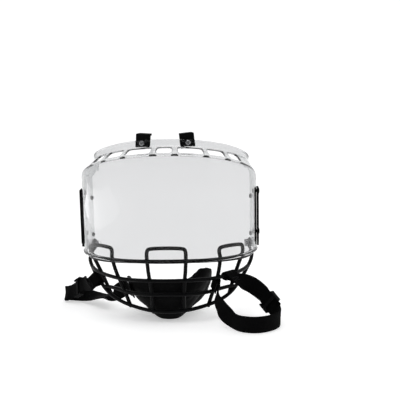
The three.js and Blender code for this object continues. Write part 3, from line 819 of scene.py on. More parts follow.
def turn_profile(maker: MeshMaker, profile: Sequence[Pair], place: Matrix,
                 sides: int = 40) -> None:
    """Turn a closed profile about the local Y axis.

    Args:
        maker: Mesh that takes the turned piece.
        profile: (distance along the axis, radius), from one end on the axis to the other.
        place: Matrix, in millimetres, that sets the piece in the frame.
        sides: Steps of the turn.
    """
    side, other = Vector((0.0, 0.0, 1.0)), Vector((1.0, 0.0, 0.0))
    rings = []
    for along, radius in profile[1:-1]:
        ring = circle(Vector((0.0, along, 0.0)), side, other, radius, sides)
        rings.append([place @ p for p in ring])
    made = maker.loft(rings)
    maker.cap(made[0], place @ Vector((0.0, profile[0][0], 0.0)), flip=True)
    maker.cap(made[-1], place @ Vector((0.0, profile[-1][0], 0.0)))


def rounded_profile(profile: Sequence[Pair], radius: float) -> list[Pair]:
    """Round the corners of a profile with short arcs.

    Args:
        profile: Points of the profile; both ends stay.
        radius: Reach of an arc, less where a side is short.

    Returns:
        The rounded profile.
    """
    points = [Vector(p) for p in profile]
    result = [tuple(points[0])]
    for before, here, after in zip(points, points[1:], points[2:]):
        to_before, to_after = before - here, after - here
        reach = min(radius, to_before.length * 0.45, to_after.length * 0.45)
        start, end = here + to_before.normalized() * reach, here + to_after.normalized() * reach
        for t in (0.0, 0.33, 0.67, 1.0):
            result.append(tuple(start.lerp(here, t).lerp(here.lerp(end, t), t)))
    result.append(tuple(points[-1]))
    return result


def slab(name: str, outline: Sequence[Pair], thickness: float, place: Matrix,
         look: Finish) -> bpy.types.Object:
    """Extrude a flat outline.

    Args:
        name: Piece name.
        outline: Corners in the local X-Z plane, anticlockwise.
        thickness: Extrusion along local Y.
        place: Matrix, in millimetres, that sets the slab in the frame.
        look: Finish of the piece.

    Returns:
        The slab.
    """
    maker = MeshMaker()
    near = [maker.point(place @ Vector((x, 0.0, z))) for x, z in outline]
    far = [maker.point(place @ Vector((x, thickness, z))) for x, z in outline]
    maker.face(near)
    maker.face(list(reversed(far)))
    for i in range(len(outline)):
        j = (i + 1) % len(outline)
        maker.face([near[j], near[i], far[i], far[j]])
    return maker.finish(name, look)


def block(name: str, low: Point, high: Point, place: Matrix, look: Finish) -> bpy.types.Object:
    """A box between two local corners.

    Args:
        name: Piece name.
        low: Corner with the lowest coordinates.
        high: Corner with the highest coordinates.
        place: Matrix, in millimetres, that sets the box in the frame.
        look: Finish of the piece.

    Returns:
        The box.
    """
    outline = [(low[0], low[2]), (high[0], low[2]), (high[0], high[2]), (low[0], high[2])]
    shifted = place @ Matrix.Translation((0.0, low[1], 0.0))
    return slab(name, outline, high[1] - low[1], shifted, look)


def rounded_outline(corners: Sequence[Pair], radius: float, steps: int = 5
                    ) -> list[Pair]:
    """Round the corners of a closed outline.

    Args:
        corners: Corners of the outline.
        radius: Reach of each arc.
        steps: Steps of each arc.

    Returns:
        The rounded outline.
    """
    points = [Vector(p) for p in corners]
    count = len(points)
    result = []
    for i, here in enumerate(points):
        before, after = points[i - 1] - here, points[(i + 1) % count] - here
        start = here + before.normalized() * min(radius, before.length * 0.45)
        end = here + after.normalized() * min(radius, after.length * 0.45)
        for step in range(steps + 1):
            t = step / steps
            result.append(tuple(start.lerp(here, t).lerp(here.lerp(end, t), t)))
    return result


def fit(piece: bpy.types.Object, nodes: Sequence[str], body: str = "root") -> bpy.types.Object:
    """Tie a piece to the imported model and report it.

    Args:
        piece: Piece to tie.
        nodes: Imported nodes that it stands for.
        body: Body that it rides on.

    Returns:
        The piece.
    """
    if nodes:
        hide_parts(*nodes)
    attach(piece, body)
    log.info("%s: %d faces", piece.name, len(piece.data.polygons))
    return piece


# ---- clear shell


@dataclass
class ShellRow:
    """One row of the clear shell, from its lower edge to its top edge.

    Attributes:
        inward: Share of the way from the window's plan to the rail's plan.
        lower: Weight of the lower edge's height.
        brow: Weight of the brow's height.
        ledge: Weight of the height where the ledge meets the rail.
        top: Weight of the rail's top height.
        lift: Height added to the weighted sum.
        lip: How far the lower lip stands out, as a share.
    """

    inward: float
    lower: float
    brow: float
    ledge: float
    top: float
    lift: float
    lip: float = 0.0


@dataclass
class ClearShell:
    """Wraparound window with its vented brow ledge, upright rail and lower lip, in one moulding.

    Attributes:
        half, depth, front: Half width, depth and foremost Y of the window's bow.
        wing_rear, wing_half: Rear end of the wings, and their half width there.
        wall: Wall thickness.
        lip: How far the lower lip stands out.
        lip_end, lip_fade: Plan parameter where the lip has ended, and over which it fades.
        rail_half, rail_depth, rail_front: The same as the window's, for the rail's bow.
        rail_right_extra: How far the rail's right end is set out.
        rail_tall: Height of the rail over the ledge.
        lower_heights, brow_heights: Height in front, then the falls over the bow and over the wing.
        brow_power: Power of the brow's fall over the bow.
        rail_height, rail_slope: Height of the rail's top in front, and its fall by depth.
        rows: Rows of the skin, from the lower edge up.
        vent_rows: Rows that the vents lie between.
        vents: Lowest and highest distance of each vent from the middle plane.
        columns, tail: Where the skin's columns stand: by X on the bow, by plan parameter behind it.
    """

    half: float = 107.9
    depth: float = 80.0
    front: float = -48.0
    wing_rear: float = 75.0
    wing_half: float = 104.2
    wall: float = 2.4
    lip: float = 1.3
    lip_end: float = 1.62
    lip_fade: float = 0.26
    rail_half: float = 95.0
    rail_depth: float = 75.0
    rail_front: float = -18.0
    rail_right_extra: float = 4.0
    rail_tall: float = 7.6
    lower_heights: tuple[float, float, float] = (78.2, 0.7, 4.2)
    brow_heights: tuple[float, float, float] = (206.2, 34.6, 4.0)
    brow_power: float = 1.05
    rail_height: float = 220.8
    rail_slope: float = 0.385
    rows: list[ShellRow] = field(default_factory=lambda: [
        ShellRow(0.0, 1, 0, 0, 0, 0.0, 0.3),
        ShellRow(0.0, 1, 0, 0, 0, 1.0, 1.0),
        ShellRow(0.0, 1, 0, 0, 0, 3.0, 1.0),
        ShellRow(0.0, 1, 0, 0, 0, 4.2, 0.0),
        ShellRow(0.0, 1, 0, 0, 0, 6.0, 0.0),
        ShellRow(0.0, 0.65, 0.35, 0, 0, 0.0),
        ShellRow(0.0, 0.35, 0.65, 0, 0, 0.0),
        ShellRow(0.0, 0, 1, 0, 0, -4.6),
        ShellRow(0.02, 0, 1, 0, 0, -1.8),
        ShellRow(0.07, 0, 1, 0, 0, -0.3),
        ShellRow(0.17, 0, 0.93, 0.07, 0, 0.0),
        ShellRow(0.29, 0, 0.82, 0.18, 0, 0.0),
        ShellRow(0.56, 0, 0.5, 0.5, 0, 0.0),
        ShellRow(0.86, 0, 0.14, 0.86, 0, 0.0),
        ShellRow(0.95, 0, 0, 1, 0, -0.5),
        ShellRow(0.995, 0, 0, 1, 0, 0.9),
        ShellRow(1.0, 0, 0, 0.5, 0.5, 0.0),
        ShellRow(1.0, 0, 0, 0, 1, -2.3),
        ShellRow(1.0, 0, 0, 0, 1, -1.5, 0.42),
        ShellRow(1.0, 0, 0, 0, 1, 0.0, 0.30),
    ])
    vent_rows: tuple[int, int] = (11, 13)
    vents: tuple[Pair, ...] = ((0.0, 9.5), (17.0, 48.0), (54.0, 74.0), (80.0, 92.0))
    columns: tuple[float, ...] = (0, 9.5, 10.8, 15.7, 17, 24.5, 32, 40, 48, 49.3, 52.7, 54, 61, 68, 74,
                                  75.3, 78.7, 80, 86, 92, 93.3)
    tail: tuple[float, ...] = (0.69, 0.75, 0.81, 0.87, 0.935, 1.0, 1.16, 1.36, 1.55, 1.74, 1.9, 1.97, 2.0)
    look: ClearPolycarbonate = ClearPolycarbonate()

    def _plan(self, u: float, half: float, depth: float, front: float, rear_half: float
              ) -> Pair:
        """Plan point of a bowed band: an ellipse in front, then a wing drawn slightly in.

        Args:
            u: Plan parameter: 0 in front, 1 where the wing starts and 2 at its end, negative at the left.
            half: Half width of the bow.
            depth: Depth of the bow.
            front: Foremost Y of the bow.
            rear_half: Half width at the wing's end.

        Returns:
            X and Y of the point.
        """
        side, share = math.copysign(1.0, u), abs(u)
        if share <= 1.0:
            angle = share * math.pi / 2
            return side * half * math.sin(angle), front + depth * (1 - math.cos(angle))
        t = share - 1.0
        y = front + depth + (self.wing_rear - front - depth) * t
        return side * (half - (half - rear_half) * t * t), y

    def window_plan(self, u: float) -> Pair:
        """Plan point of the window's outer face."""
        return self._plan(u, self.half, self.depth, self.front, self.wing_half)

    def rail_plan(self, u: float) -> Pair:
        """Plan point of the rail's outer face."""
        x, y = self._plan(u, self.rail_half, self.rail_depth, self.rail_front, self.rail_half)
        return x + self.rail_right_extra * held(u) ** 4, y

    def _falls(self, y: float) -> Pair:
        """Shares of the bow and of the wing that lie in front of a depth."""
        run = self.wing_rear - self.front - self.depth
        return held((y - self.front) / self.depth), max(0.0, (y - (self.front + self.depth)) / run)

    def lower_edge(self, y: float) -> float:
        """Height of the lower edge."""
        (height, bow_fall, wing_fall), (bow, wing) = self.lower_heights, self._falls(y)
        return height - bow_fall * bow - wing_fall * wing

    def brow(self, y: float) -> float:
        """Height where the window bends into the ledge."""
        (height, bow_fall, wing_fall), (bow, wing) = self.brow_heights, self._falls(y)
        return height - bow_fall * bow ** self.brow_power - wing_fall * wing

    def rail_top(self, y: float) -> float:
        """Height of the rail's top edge."""
        return self.rail_height - self.rail_slope * (y - self.rail_front)

    def _place(self, u: float, row: ShellRow) -> Vector:
        """Point of the outer face before the lip is added.

        Args:
            u: Plan parameter.
            row: Row of the skin.

        Returns:
            The point.
        """
        wx, wy = self.window_plan(u)
        rx, ry = self.rail_plan(u)
        top = self.rail_top(ry)
        z = (row.lower * self.lower_edge(wy) + row.brow * self.brow(wy)
             + row.ledge * (top - self.rail_tall) + row.top * top + row.lift)
        return Vector((wx + (rx - wx) * row.inward, wy + (ry - wy) * row.inward, z))

    def _lip_reach(self, u: float, row: ShellRow) -> float:
        """How far the lip stands out; it fades before the screw at each rear corner."""
        return self.lip * row.lip * held((self.lip_end - abs(u)) / self.lip_fade)

    def _is_vent(self, x: float, j: int) -> bool:
        """Whether a cell in the middle of two columns lies in a vent."""
        inside = any(low < abs(x) < high for low, high in self.vents)
        return inside and self.vent_rows[0] <= j < self.vent_rows[1]

    def _steps(self) -> list[float]:
        """Lay the columns of the shell.

        Returns:
            Plan parameter of every column, left to right.
        """
        front = [math.asin(x / self.half) / (math.pi / 2) for x in self.columns]
        half = [*front, *self.tail]
        return [*(-u for u in reversed(half[1:])), *half]

    def build(self) -> bpy.types.Object:
        """Build the shell with its vents and dress it.

        Returns:
            The shell, not yet bored.
        """
        steps = self._steps()
        base = [[self._place(u, row) for row in self.rows] for u in steps]
        last_i, last_j = len(steps) - 1, len(self.rows) - 1

        def normal(i: int, j: int) -> Vector:
            """Outward direction of the skin.

            Args:
                i: Number of the column.
                j: Number of the row.

            Returns:
                The unit direction.
            """
            along = base[min(i + 1, last_i)][j] - base[max(i - 1, 0)][j]
            rise = base[i][min(j + 1, last_j)] - base[i][max(j - 1, 0)]
            return along.cross(rise).normalized()

        maker = MeshMaker()
        outer, inner = [], []
        for i, u in enumerate(steps):
            normals = [normal(i, j) for j in range(last_j + 1)]
            outer.append([maker.point(base[i][j] + normals[j] * self._lip_reach(u, row))
                          for j, row in enumerate(self.rows)])
            inner.append([maker.point(base[i][j] - normals[j] * self.wall) for j in range(last_j + 1)])
        xs = [self.window_plan(u)[0] for u in steps]

        def empty(i: int, j: int) -> bool:
            """Whether a cell lies in a vent or past the edge."""
            outside = i < 0 or j < 0 or i >= last_i or j >= last_j
            return outside or self._is_vent((xs[i] + xs[i + 1]) / 2, j)

        for i in range(last_i):
            for j in range(last_j):
                if empty(i, j):
                    continue
                maker.face([outer[i][j], outer[i + 1][j], outer[i + 1][j + 1], outer[i][j + 1]])
                maker.face([inner[i][j], inner[i][j + 1], inner[i + 1][j + 1], inner[i + 1][j]])
                if empty(i, j - 1):
                    maker.face([outer[i][j], inner[i][j], inner[i + 1][j], outer[i + 1][j]])
                if empty(i, j + 1):
                    maker.face([outer[i][j + 1], outer[i + 1][j + 1], inner[i + 1][j + 1], inner[i][j + 1]])
                if empty(i - 1, j):
                    maker.face([outer[i][j], outer[i][j + 1], inner[i][j + 1], inner[i][j]])
                if empty(i + 1, j):
                    maker.face([outer[i + 1][j], inner[i + 1][j], inner[i + 1][j + 1], outer[i + 1][j + 1]])
        loose = [v for v in maker.mesh.verts if not v.link_faces]
        bmesh.ops.delete(maker.mesh, geom=loose, context="VERTS")
        shell = refine(maker.finish("window_moulding", self.look), 2)
        return fit(shell, ["visor_shell"])

    def wing_at(self, y: float, side: Side) -> tuple[float, Vector]:
        """The wing's outer face at a depth.

        Args:
            y: Depth of the place.
            side: Which wing.

        Returns:
            The face's x, and its outward direction.
        """
        run = self.wing_rear - self.front - self.depth
        t = max(0.0, (y - self.front - self.depth) / run)
        draw = self.half - self.wing_half
        out = Vector((side.value, 2 * draw * t / run, 0.0)).normalized()
        return side.value * (self.half - draw * t * t), out

    def on_wing(self, y: float, z: float, side: Side) -> Matrix:
        """Matrix of a place on a wing, with local +Y pointing inward.

        Args:
            y: Depth of the place.
            z: Height of the place.
            side: Which wing.

        Returns:
            The matrix, in millimetres.
        """
        x, out = self.wing_at(y, side)
        turn = Vector((0.0, 1.0, 0.0)).rotation_difference(-out).to_matrix().to_4x4()
        return Matrix.Translation((x, y, z)) @ turn


# ---- wire cage


@dataclass
class WireCage:
    """Cage of coated wire under the window: crossing rings, looped posts, screw eyelets and welds.

    Attributes:
        gauge: Thickness of the coated wire.
        lip_ring, upper_ring, lower_ring, chin_ring: Half of each ring, middle to side.
        mid_post, inner_right, inner_left, outer_right, outer_left: Posts from the top down.
        eye_y, eye_z, eye_radius: Place of the screw eyelets, and the radius of their centre line.
        sides: Sides of a wire's section.
        bend: Bend radius where a post pair is joined over the top.
        flank_extra: How far the left flank is set out at the rear.
        flank_run, flank_top, flank_fade: Depth over which it grows, height where it starts, and its fade.
        touch: Distance of two centre lines, in gauges, under which a weld joins them.
        bead: Half width and half thickness of a weld bead, in gauges.
    """

    shell: ClearShell
    gauge: float = 4.6
    eye_y: float = 65.0
    eye_z: float = 79.0
    eye_radius: float = 4.6
    sides: int = 16
    lip_ring: Table = ((0, -43.1, 80), (24, -41, 79.7), (48, -34.2, 78.6), (70, -22.5, 77.2),
                       (87, -6.2, 75.8), (97, 11.5, 74.9), (101.6, 29, 74.4))
    upper_ring: Table = ((0, -37, 55), (31, -33, 54.8), (54, -22.8, 54.2), (71.5, -6.5, 53.8),
                         (84, 11, 53.6), (92, 25, 54.2), (97.1, 37.6, 55.1))
    lower_ring: Table = ((0, -31, 36.5), (25, -28.2, 36.1), (46, -18.2, 35.9), (64, -2.5, 36.7),
                         (74, 7.4, 36.4), (81, 14.4, 34.7))
    chin_ring: Table = ((0, -24, 13.2), (22.5, -21.5, 14.4), (43, -13.5, 17.4), (56.5, -6.5, 20.6),
                        (69, 2, 25.4), (78, 10.5, 31.4), (85.6, 20.5, 39.6), (94.4, 33, 50.8),
                        (101.5, 46, 63.3), (102, 54, 70.8), (99.6, 60.6, 75.7))
    mid_post: Table = ((22.6, -37.2, 90), (22.8, -37.4, 80.8), (21.8, -34.6, 63.8), (20.2, -31, 49.8),
                       (19.2, -27.5, 33.8), (18.8, -22.5, 19.8), (18.7, -18.7, 11.6))
    inner_right: Table = ((61.5, -21.6, 87.8), (62.8, -21, 77.8), (60.6, -15.8, 59.8),
                          (57.2, -12.8, 45.8), (52.6, -9.4, 31.8), (49, -6.8, 20.2), (47.8, -6, 15.8))
    inner_left: Table = ((66, -19, 87.8), (66.2, -18.4, 77.8), (62.4, -14.6, 59.8),
                         (57.2, -12.8, 45.8), (52.6, -9.4, 31.8), (49, -6.8, 20.2), (47.8, -6, 15.8))
    outer_right: Table = ((89.2, -0.4, 87.2), (88.8, 2.6, 77.8), (84.6, 7.4, 63.8), (80.6, 10, 51.8),
                          (77, 11.8, 39.8), (74.2, 10.8, 31), (73.4, 10, 28.4))
    outer_left: Table = ((94.8, 5, 87.2), (94, 7.5, 77.8), (89.6, 13, 63.8), (84.8, 15.6, 51.8),
                         (79.6, 14, 39.8), (75.4, 11.2, 31), (73.8, 10, 28.4))
    bend: float = 4.0
    flank_extra: float = 3.0
    flank_run: float = 30.0
    flank_top: float = 72.0
    flank_fade: float = 10.0
    touch: float = 1.12
    bead: Pair = (0.66, 0.34)
    look: CoatedWire = CoatedWire()

    def rings(self) -> list[list[Vector]]:
        """Centre lines of the four rings."""
        halves = (self.lip_ring, self.upper_ring, self.lower_ring, self.chin_ring)
        return [self._run(self.whole(half)) for half in halves]

    def whole(self, half: Table) -> list[Point]:
        """A whole ring from its half; the left flank is set out below the lip, more towards the rear.

        Args:
            half: The right half, from the middle plane.

        Returns:
            Points of the ring, left to right.
        """
        left = []
        for x, y, z in half[1:]:
            share = held(y / self.flank_run) * held((self.flank_top - z) / self.flank_fade)
            left.append((-x - self.flank_extra * share, y, z))
        return [*reversed(left), *half]

    def loops(self) -> list[list[Vector]]:
        """Centre lines of the three post pairs, each joined over the top."""
        pairs = ((mirrored(self.mid_post), self.mid_post), (self.inner_right, self.outer_right),
                 (mirrored(self.outer_left), mirrored(self.inner_left)))
        return [self._run(self._looped(*pair), 1.6) for pair in pairs]

    def _run(self, points: Sequence[Point], step: float = 2.4) -> list[Vector]:
        """Even enough points along a curve."""
        curve = SmoothCurve(points)
        return curve.sample(max(8, round(curve.length() / step)))

    def _looped(self, first: Table, second: Table) -> list[Point]:
        """Join two posts over the top through two rounded corners.

        Args:
            first: Points of one post, from the top down.
            second: Points of the other.

        Returns:
            Points of the whole loop.
        """
        one, two = Vector(first[0]), Vector(second[0])
        across = (two - one).normalized()
        over = ((one, 0.29, 0.71), (one, 1.0, 1.0), (two, -1.0, 1.0), (two, -0.29, 0.71))
        top = [foot + (across * aside + UP * rise) * self.bend for foot, aside, rise in over]
        return [*reversed(first[1:]), one, *top, two, *second[1:]]

    def eyelet(self, side: Side) -> list[Vector]:
        """Centre line of the eyelet that the cage screw goes through.

        Args:
            side: Which side's eyelet.

        Returns:
            Points of the ring.
        """
        x, out = self.shell.wing_at(self.eye_y, side)
        inset = self.shell.wall + FIT_GAP + self.gauge / 2
        centre = Vector((x, self.eye_y, self.eye_z)) - out * inset
        return circle(centre, Vector((-out.y, out.x, 0.0)), UP, self.eye_radius, 32)

    def _crossings(self) -> list[tuple[Vector, Vector, Vector]]:
        """Find where the posts touch the rings.

        Returns:
            For each, the point between both wires and the direction of each.
        """
        found = []
        for ring in self.rings():
            for loop in self.loops():
                near = [min((p - q).length for q in ring) for p in loop]
                for i in range(1, len(loop) - 1):
                    if near[i] > self.gauge * self.touch or near[i] > min(near[i - 1], near[i + 1]):
                        continue
                    j = min(range(len(ring)), key=lambda k: (ring[k] - loop[i]).length)
                    after, before = min(j + 1, len(ring) - 1), max(j - 1, 0)
                    found.append(((ring[j] + loop[i]) / 2, ring[after] - ring[before],
                                  loop[i + 1] - loop[i - 1]))
        return found

    def _weld_bead(self, maker: MeshMaker, place: Vector, one: Vector, two: Vector) -> None:
        """Flattened bead that fills the corners where two wires cross.

        Args:
            maker: Mesh that takes the bead.
            place: Middle of the crossing.
            one: Direction of one wire.
            two: Direction of the other.
        """
        across = one.cross(two).normalized()
        first = (one.normalized() + two.normalized()).normalized()
        second = across.cross(first)
        wide, thin = (self.gauge * share for share in self.bead)
        levels = [math.radians(a) for a in (-72, -50, -28, -8, 8, 28, 50, 72)]
        rings = [circle(place + across * thin * math.sin(a), first, second, wide * math.cos(a), 16)
                 for a in levels]
        made = maker.loft(rings)
        maker.cap(made[0], place - across * thin, flip=True)
        maker.cap(made[-1], place + across * thin)

    def build(self) -> bpy.types.Object:
        """Build the cage as one welded solid and dress it.

        Returns:
            The cage.
        """
        rings, posts, beads = MeshMaker(), MeshMaker(), MeshMaker()
        for path in self.rings():
            sweep_rod(rings, path, self.gauge / 2, self.sides)
        for path in self.loops():
            sweep_rod(posts, path, self.gauge / 2, self.sides)
        for side in Side:
            sweep_rod(posts, self.eyelet(side), self.gauge / 2, self.sides, closed=True)
        for crossing in self._crossings():
            self._weld_bead(beads, *crossing)
        cage = rings.finish("welded_wire_cage", self.look)
        for tool in (posts.finish("cage_posts", self.look), beads.finish("weld_beads", self.look)):
            combine(cage, tool, Cut.ADD, crossing=True)
        shade_smooth(cage.data)
        return fit(cage, ["wire_cage"])


# ---- chin cup


@dataclass
class ChinCup:
    """Moulded chin cup: a bowl with a rolled rim, taller at the right, and a crease across its front.

    Attributes:
        half, left_extra: Half width, and how far the left side is set out.
        front, back: Reach of the plan to the front and to the rear.
        shift: How far the rim lies behind the base.
        wall: Wall thickness.
        turns: Columns round the cup.
        rim: Rim height by direction, in degrees from the front; negative is the left side.
        bowl: Profile as (share of the plan radius, share of the rim height).
        roll_start: Share of the rim height where the rolled rim starts.
        crease_height, crease_depth: Height of the crease in front, and its depth.
    """

    half: float = 52.0
    left_extra: float = 2.0
    front: float = 44.0
    back: float = 24.0
    shift: float = 20.0
    wall: float = 4.2
    turns: int = 132
    rim: Table = ((-180, 10.5), (-142, 13), (-118, 25), (-102, 37), (-90, 47), (-78, 49.5), (-62, 48.5),
                  (-48, 48.5), (-28, 50.4), (0, 50.8), (24, 51.3), (33, 54), (42, 59), (51, 63), (64, 61.8),
                  (82, 58), (92, 52.5), (103, 41), (119, 27), (142, 14), (180, 10.5))
    bowl: Table = ((0.25, 0), (0.31, 0.03), (0.45, 0.15), (0.63, 0.35), (0.8, 0.54), (0.92, 0.74),
                   (0.98, 0.88), (1, 1))
    roll_start: float = 0.972
    crease_height: float = 33.5
    crease_depth: float = 0.9
    look: MouldedCup = MouldedCup()

    def rim_height(self, degrees: float) -> float:
        """Height of the rim.

        Args:
            degrees: Direction from the front.

        Returns:
            The height, eased from one stated direction to the next.
        """
        for (a0, h0), (a1, h1) in zip(self.rim, self.rim[1:]):
            if degrees <= a1:
                t = max(0.0, (degrees - a0) / (a1 - a0))
                return h0 + (h1 - h0) * t * t * (3 - 2 * t)
        return self.rim[-1][1]

    def at(self, degrees: float, share: float, lift: float, inset: float) -> Vector:
        """Point of the bowl.

        Args:
            degrees: Direction from the front.
            share: Share of the plan radius.
            lift: Share of the rim height.
            inset: Distance in from the outer face.

        Returns:
            The point.
        """
        angle = math.radians(degrees)
        reach = self.front if math.cos(angle) > 0 else self.back
        floor = self.wall if inset > 0 else 0.0
        close = inset * min(1.0, share * 2)
        half = self.half + (self.left_extra if degrees < 0 else 0.0)
        x = (half * share - close) * math.sin(angle)
        y = self.shift * max(lift, 0.0) ** 0.75 - (reach * share - close) * math.cos(angle)
        return Vector((x, y, floor + (self.rim_height(degrees) - floor) * lift))

    def _profile(self) -> list[Pair]:
        """Refine the bowl's profile, from the base to just under the rim.

        Returns:
            Share of the rim's size and of its height at every row.
        """
        curve = SmoothCurve([(share, lift, 0.0) for share, lift in self.bowl])
        fine = [(p.x, max(p.y, 0.0)) for p in curve.sample(64)]
        return [(share, lift) for share, lift in fine if lift < 0.965]

    def _pressed(self, place: Vector, degrees: float) -> float:
        """Outward reach of the crease and of the fuller band under it.

        Args:
            place: Point of the outer face.
            degrees: Its direction from the front.

        Returns:
            The reach, which fades out towards both sides.
        """
        side = held((74 - abs(degrees)) / 34)
        weight = side * side * (3 - 2 * side)
        off = place.z - self.crease_height - 1.6 * (degrees / 60) ** 2
        crease = -self.crease_depth * math.exp(-((off / 1.05) ** 2))
        return weight * (crease + 0.75 * math.exp(-(((off + 5.2) / 3.0) ** 2)))

    def build(self) -> bpy.types.Object:
        """Build the cup and dress it.

        Returns:
            The cup.
        """
        profile = self._profile()
        roll = [(0.5 * (1 - math.cos(math.pi * k / 8)), math.sin(math.pi * k / 8)) for k in range(9)]
        columns = []
        for i in range(self.turns):
            degrees = -180 + 360 * i / self.turns
            rise = self.rim_height(degrees)
            outside = []
            for share, lift in profile:
                here = self.at(degrees, share, lift, 0.0)
                out = Vector((math.sin(math.radians(degrees)), -math.cos(math.radians(degrees)), -0.25))
                outside.append(here + out.normalized() * self._pressed(here, degrees))
            swell = min(1.0, 40 / rise)
            rim = [self.at(degrees, 1.0, self.roll_start + 0.03 * bulge * swell, self.wall * inward + 1e-6)
                   for inward, bulge in roll]
            rim[0] = self.at(degrees, 1.0, self.roll_start, 0.0)
            inside = [self.at(degrees, share, lift, self.wall) for share, lift in reversed(profile)]
            columns.append([*outside, *rim, *inside])
        maker = MeshMaker()
        rows = [list(ring) for ring in zip(*columns)]
        made = maker.loft(rows)
        maker.cap(made[0], (0.0, 0.0, 0.0), flip=True)
        maker.cap(made[-1], (0.0, 0.0, self.wall))
        return fit(maker.finish("moulded_chin_cup", self.look), ["chin_cup"])


# ---- clips and fittings


def cross_recess(place: Matrix, radius: float, top: float, depth: float, look: Finish
                 ) -> bpy.types.Object:
    """Tapered cross that is cut into a screw's head.

    Args:
        place: Matrix of the head, with local +Y pointing into it.
        radius: Reach of each arm.
        top: Local Y of the head's outermost point.
        depth: Depth of the recess.
        look: Finish of the cut faces.

    Returns:
        The cutter.
    """
    maker = MeshMaker()
    wide = radius * 0.24
    corner = ((wide, radius), (wide, wide), (radius, wide))
    outline = []
    for quarter in range(4):
        turn = Matrix.Rotation(-quarter * math.pi / 2, 2)
        outline += [turn @ Vector(p) for p in corner]
    near = [place @ Vector((p.x, top - 0.5, p.y)) for p in outline]
    mid = [place @ Vector((p.x, top + 0.1, p.y)) for p in outline]
    far = [place @ Vector((p.x * 0.55, top + depth, p.y * 0.55)) for p in outline]
    made = maker.loft([near, mid, far])
    maker.cap(made[0], place @ Vector((0.0, top - 0.5, 0.0)), flip=True)
    maker.cap(made[-1], place @ Vector((0.0, top + depth, 0.0)))
    return maker.finish("recess_cutter", look)


@dataclass
class TopClip:
    """Clip behind the top rail: an upright tab, a flange over the helmet's edge, and its screw.

    Attributes:
        x: Distance of the screw from the middle plane.
        wide, tall, thick: Size of the tab.
        drop: How far the tab hangs below the rail's top edge.
        reach: How far the flange reaches back from the rail's outer face, over the face.
        face: Depth of the tab's front face behind the rail's outer face.
        lean: Lean of the left clip and of the right one, in radians.
        corner: Rounding of the tab's corners.
        flange_inset, flange_thick: How far the flange's ends stand in, and its thickness.
        screw_drop: How far the screw lies below the rail's top edge.
        bore: Radius of the screw's hole.
    """

    shell: ClearShell
    side: Side
    x: float = 27.1
    wide: float = 17.5
    tall: float = 17.5
    drop: float = 10.4
    thick: float = 3.2
    reach: float = 11.0
    face: float = 3.15
    lean: Pair = (0.05, 0.08)
    corner: float = 1.2
    flange_inset: float = 1.2
    flange_thick: float = 2.6
    screw_drop: float = 3.7
    bore: float = 2.35
    look: GrainedPlastic = GrainedPlastic()
    screw_look: BlackenedSteel = BlackenedSteel()

    def _frame(self) -> Matrix:
        """Place the clip on the rail's outer face, below its screw.

        Returns:
            The place as a matrix.
        """
        share = self.x / self.shell.rail_half
        root = math.sqrt(1 - share * share)
        y = self.shell.rail_front + self.shell.rail_depth * (1 - root)
        slope = self.shell.rail_depth * share / self.shell.rail_half / root
        turn = Matrix.Rotation(self.side.value * math.atan(slope), 4, "Z")
        return Matrix.Translation((self.side.value * self.x, y, 0.0)) @ turn

    def screw_height(self) -> float:
        """Height of the screw's axis."""
        return self.shell.rail_top(self._frame().translation.y) - self.screw_drop

    def screw_place(self) -> Matrix:
        """Place of the screw, with local +Y pointing inward."""
        return self._frame() @ Matrix.Translation((0.0, 0.0, self.screw_height()))

    def _build_clip(self) -> bpy.types.Object:
        """Build the moulded clip.

        Returns:
            The clip.
        """
        angle = -self.side.value * self.lean[0 if self.side is Side.LEFT else 1]
        place = self.screw_place() @ Matrix.Rotation(angle, 4, "Y")
        low, half = self.screw_drop - self.drop, self.wide / 2
        corners = ((-half, low), (half, low), (half, low + self.tall), (-half, low + self.tall))
        name = f"moulded_clip_{self.side.word}"
        tab = slab(name, rounded_outline(corners, self.corner), self.thick,
                   place @ Matrix.Translation((0.0, self.face, 0.0)), self.look)
        end = half - self.flange_inset
        flange = block("flange", (-end, self.face + 0.4, low + self.tall - self.flange_thick),
                       (end, self.face + self.reach, low + self.tall), place, self.look)
        combine(tab, flange, Cut.ADD)
        maker = MeshMaker()
        far = self.face + 2.2
        bore = [(-2.0, 0.0), (-2.0, self.bore), (far, self.bore), (far, 0.0)]
        turn_profile(maker, bore, place, 28)
        combine(tab, maker.finish("bore", self.look), Cut.TAKE)
        return fit(soften(tab, 0.45), [f"top_clip_{self.side.word}"])

    def _build_screw(self) -> bpy.types.Object:
        """Build the screw with its domed head.

        Returns:
            The screw.
        """
        profile = [(self.face + 1.7, 0.0), (self.face + 1.7, 2.0), (-FIT_GAP, 2.0), (-FIT_GAP, 3.2),
                   (-1.2, 3.2), (-1.85, 2.5), (-2.1, 1.2), (-2.12, 0.0)]
        maker = MeshMaker()
        turn_profile(maker, rounded_profile(profile, 0.35), self.screw_place(), 40)
        screw = maker.finish(f"clip_screw_head_{self.side.word}", self.screw_look)
        combine(screw, cross_recess(self.screw_place(), 1.75, -2.1, 1.2, self.screw_look), Cut.TAKE)
        return fit(screw, [f"clip_screw_{self.side.word}"])

    def build(self) -> None:
        """Build the clip and its screw."""
        self._build_clip()
        self._build_screw()


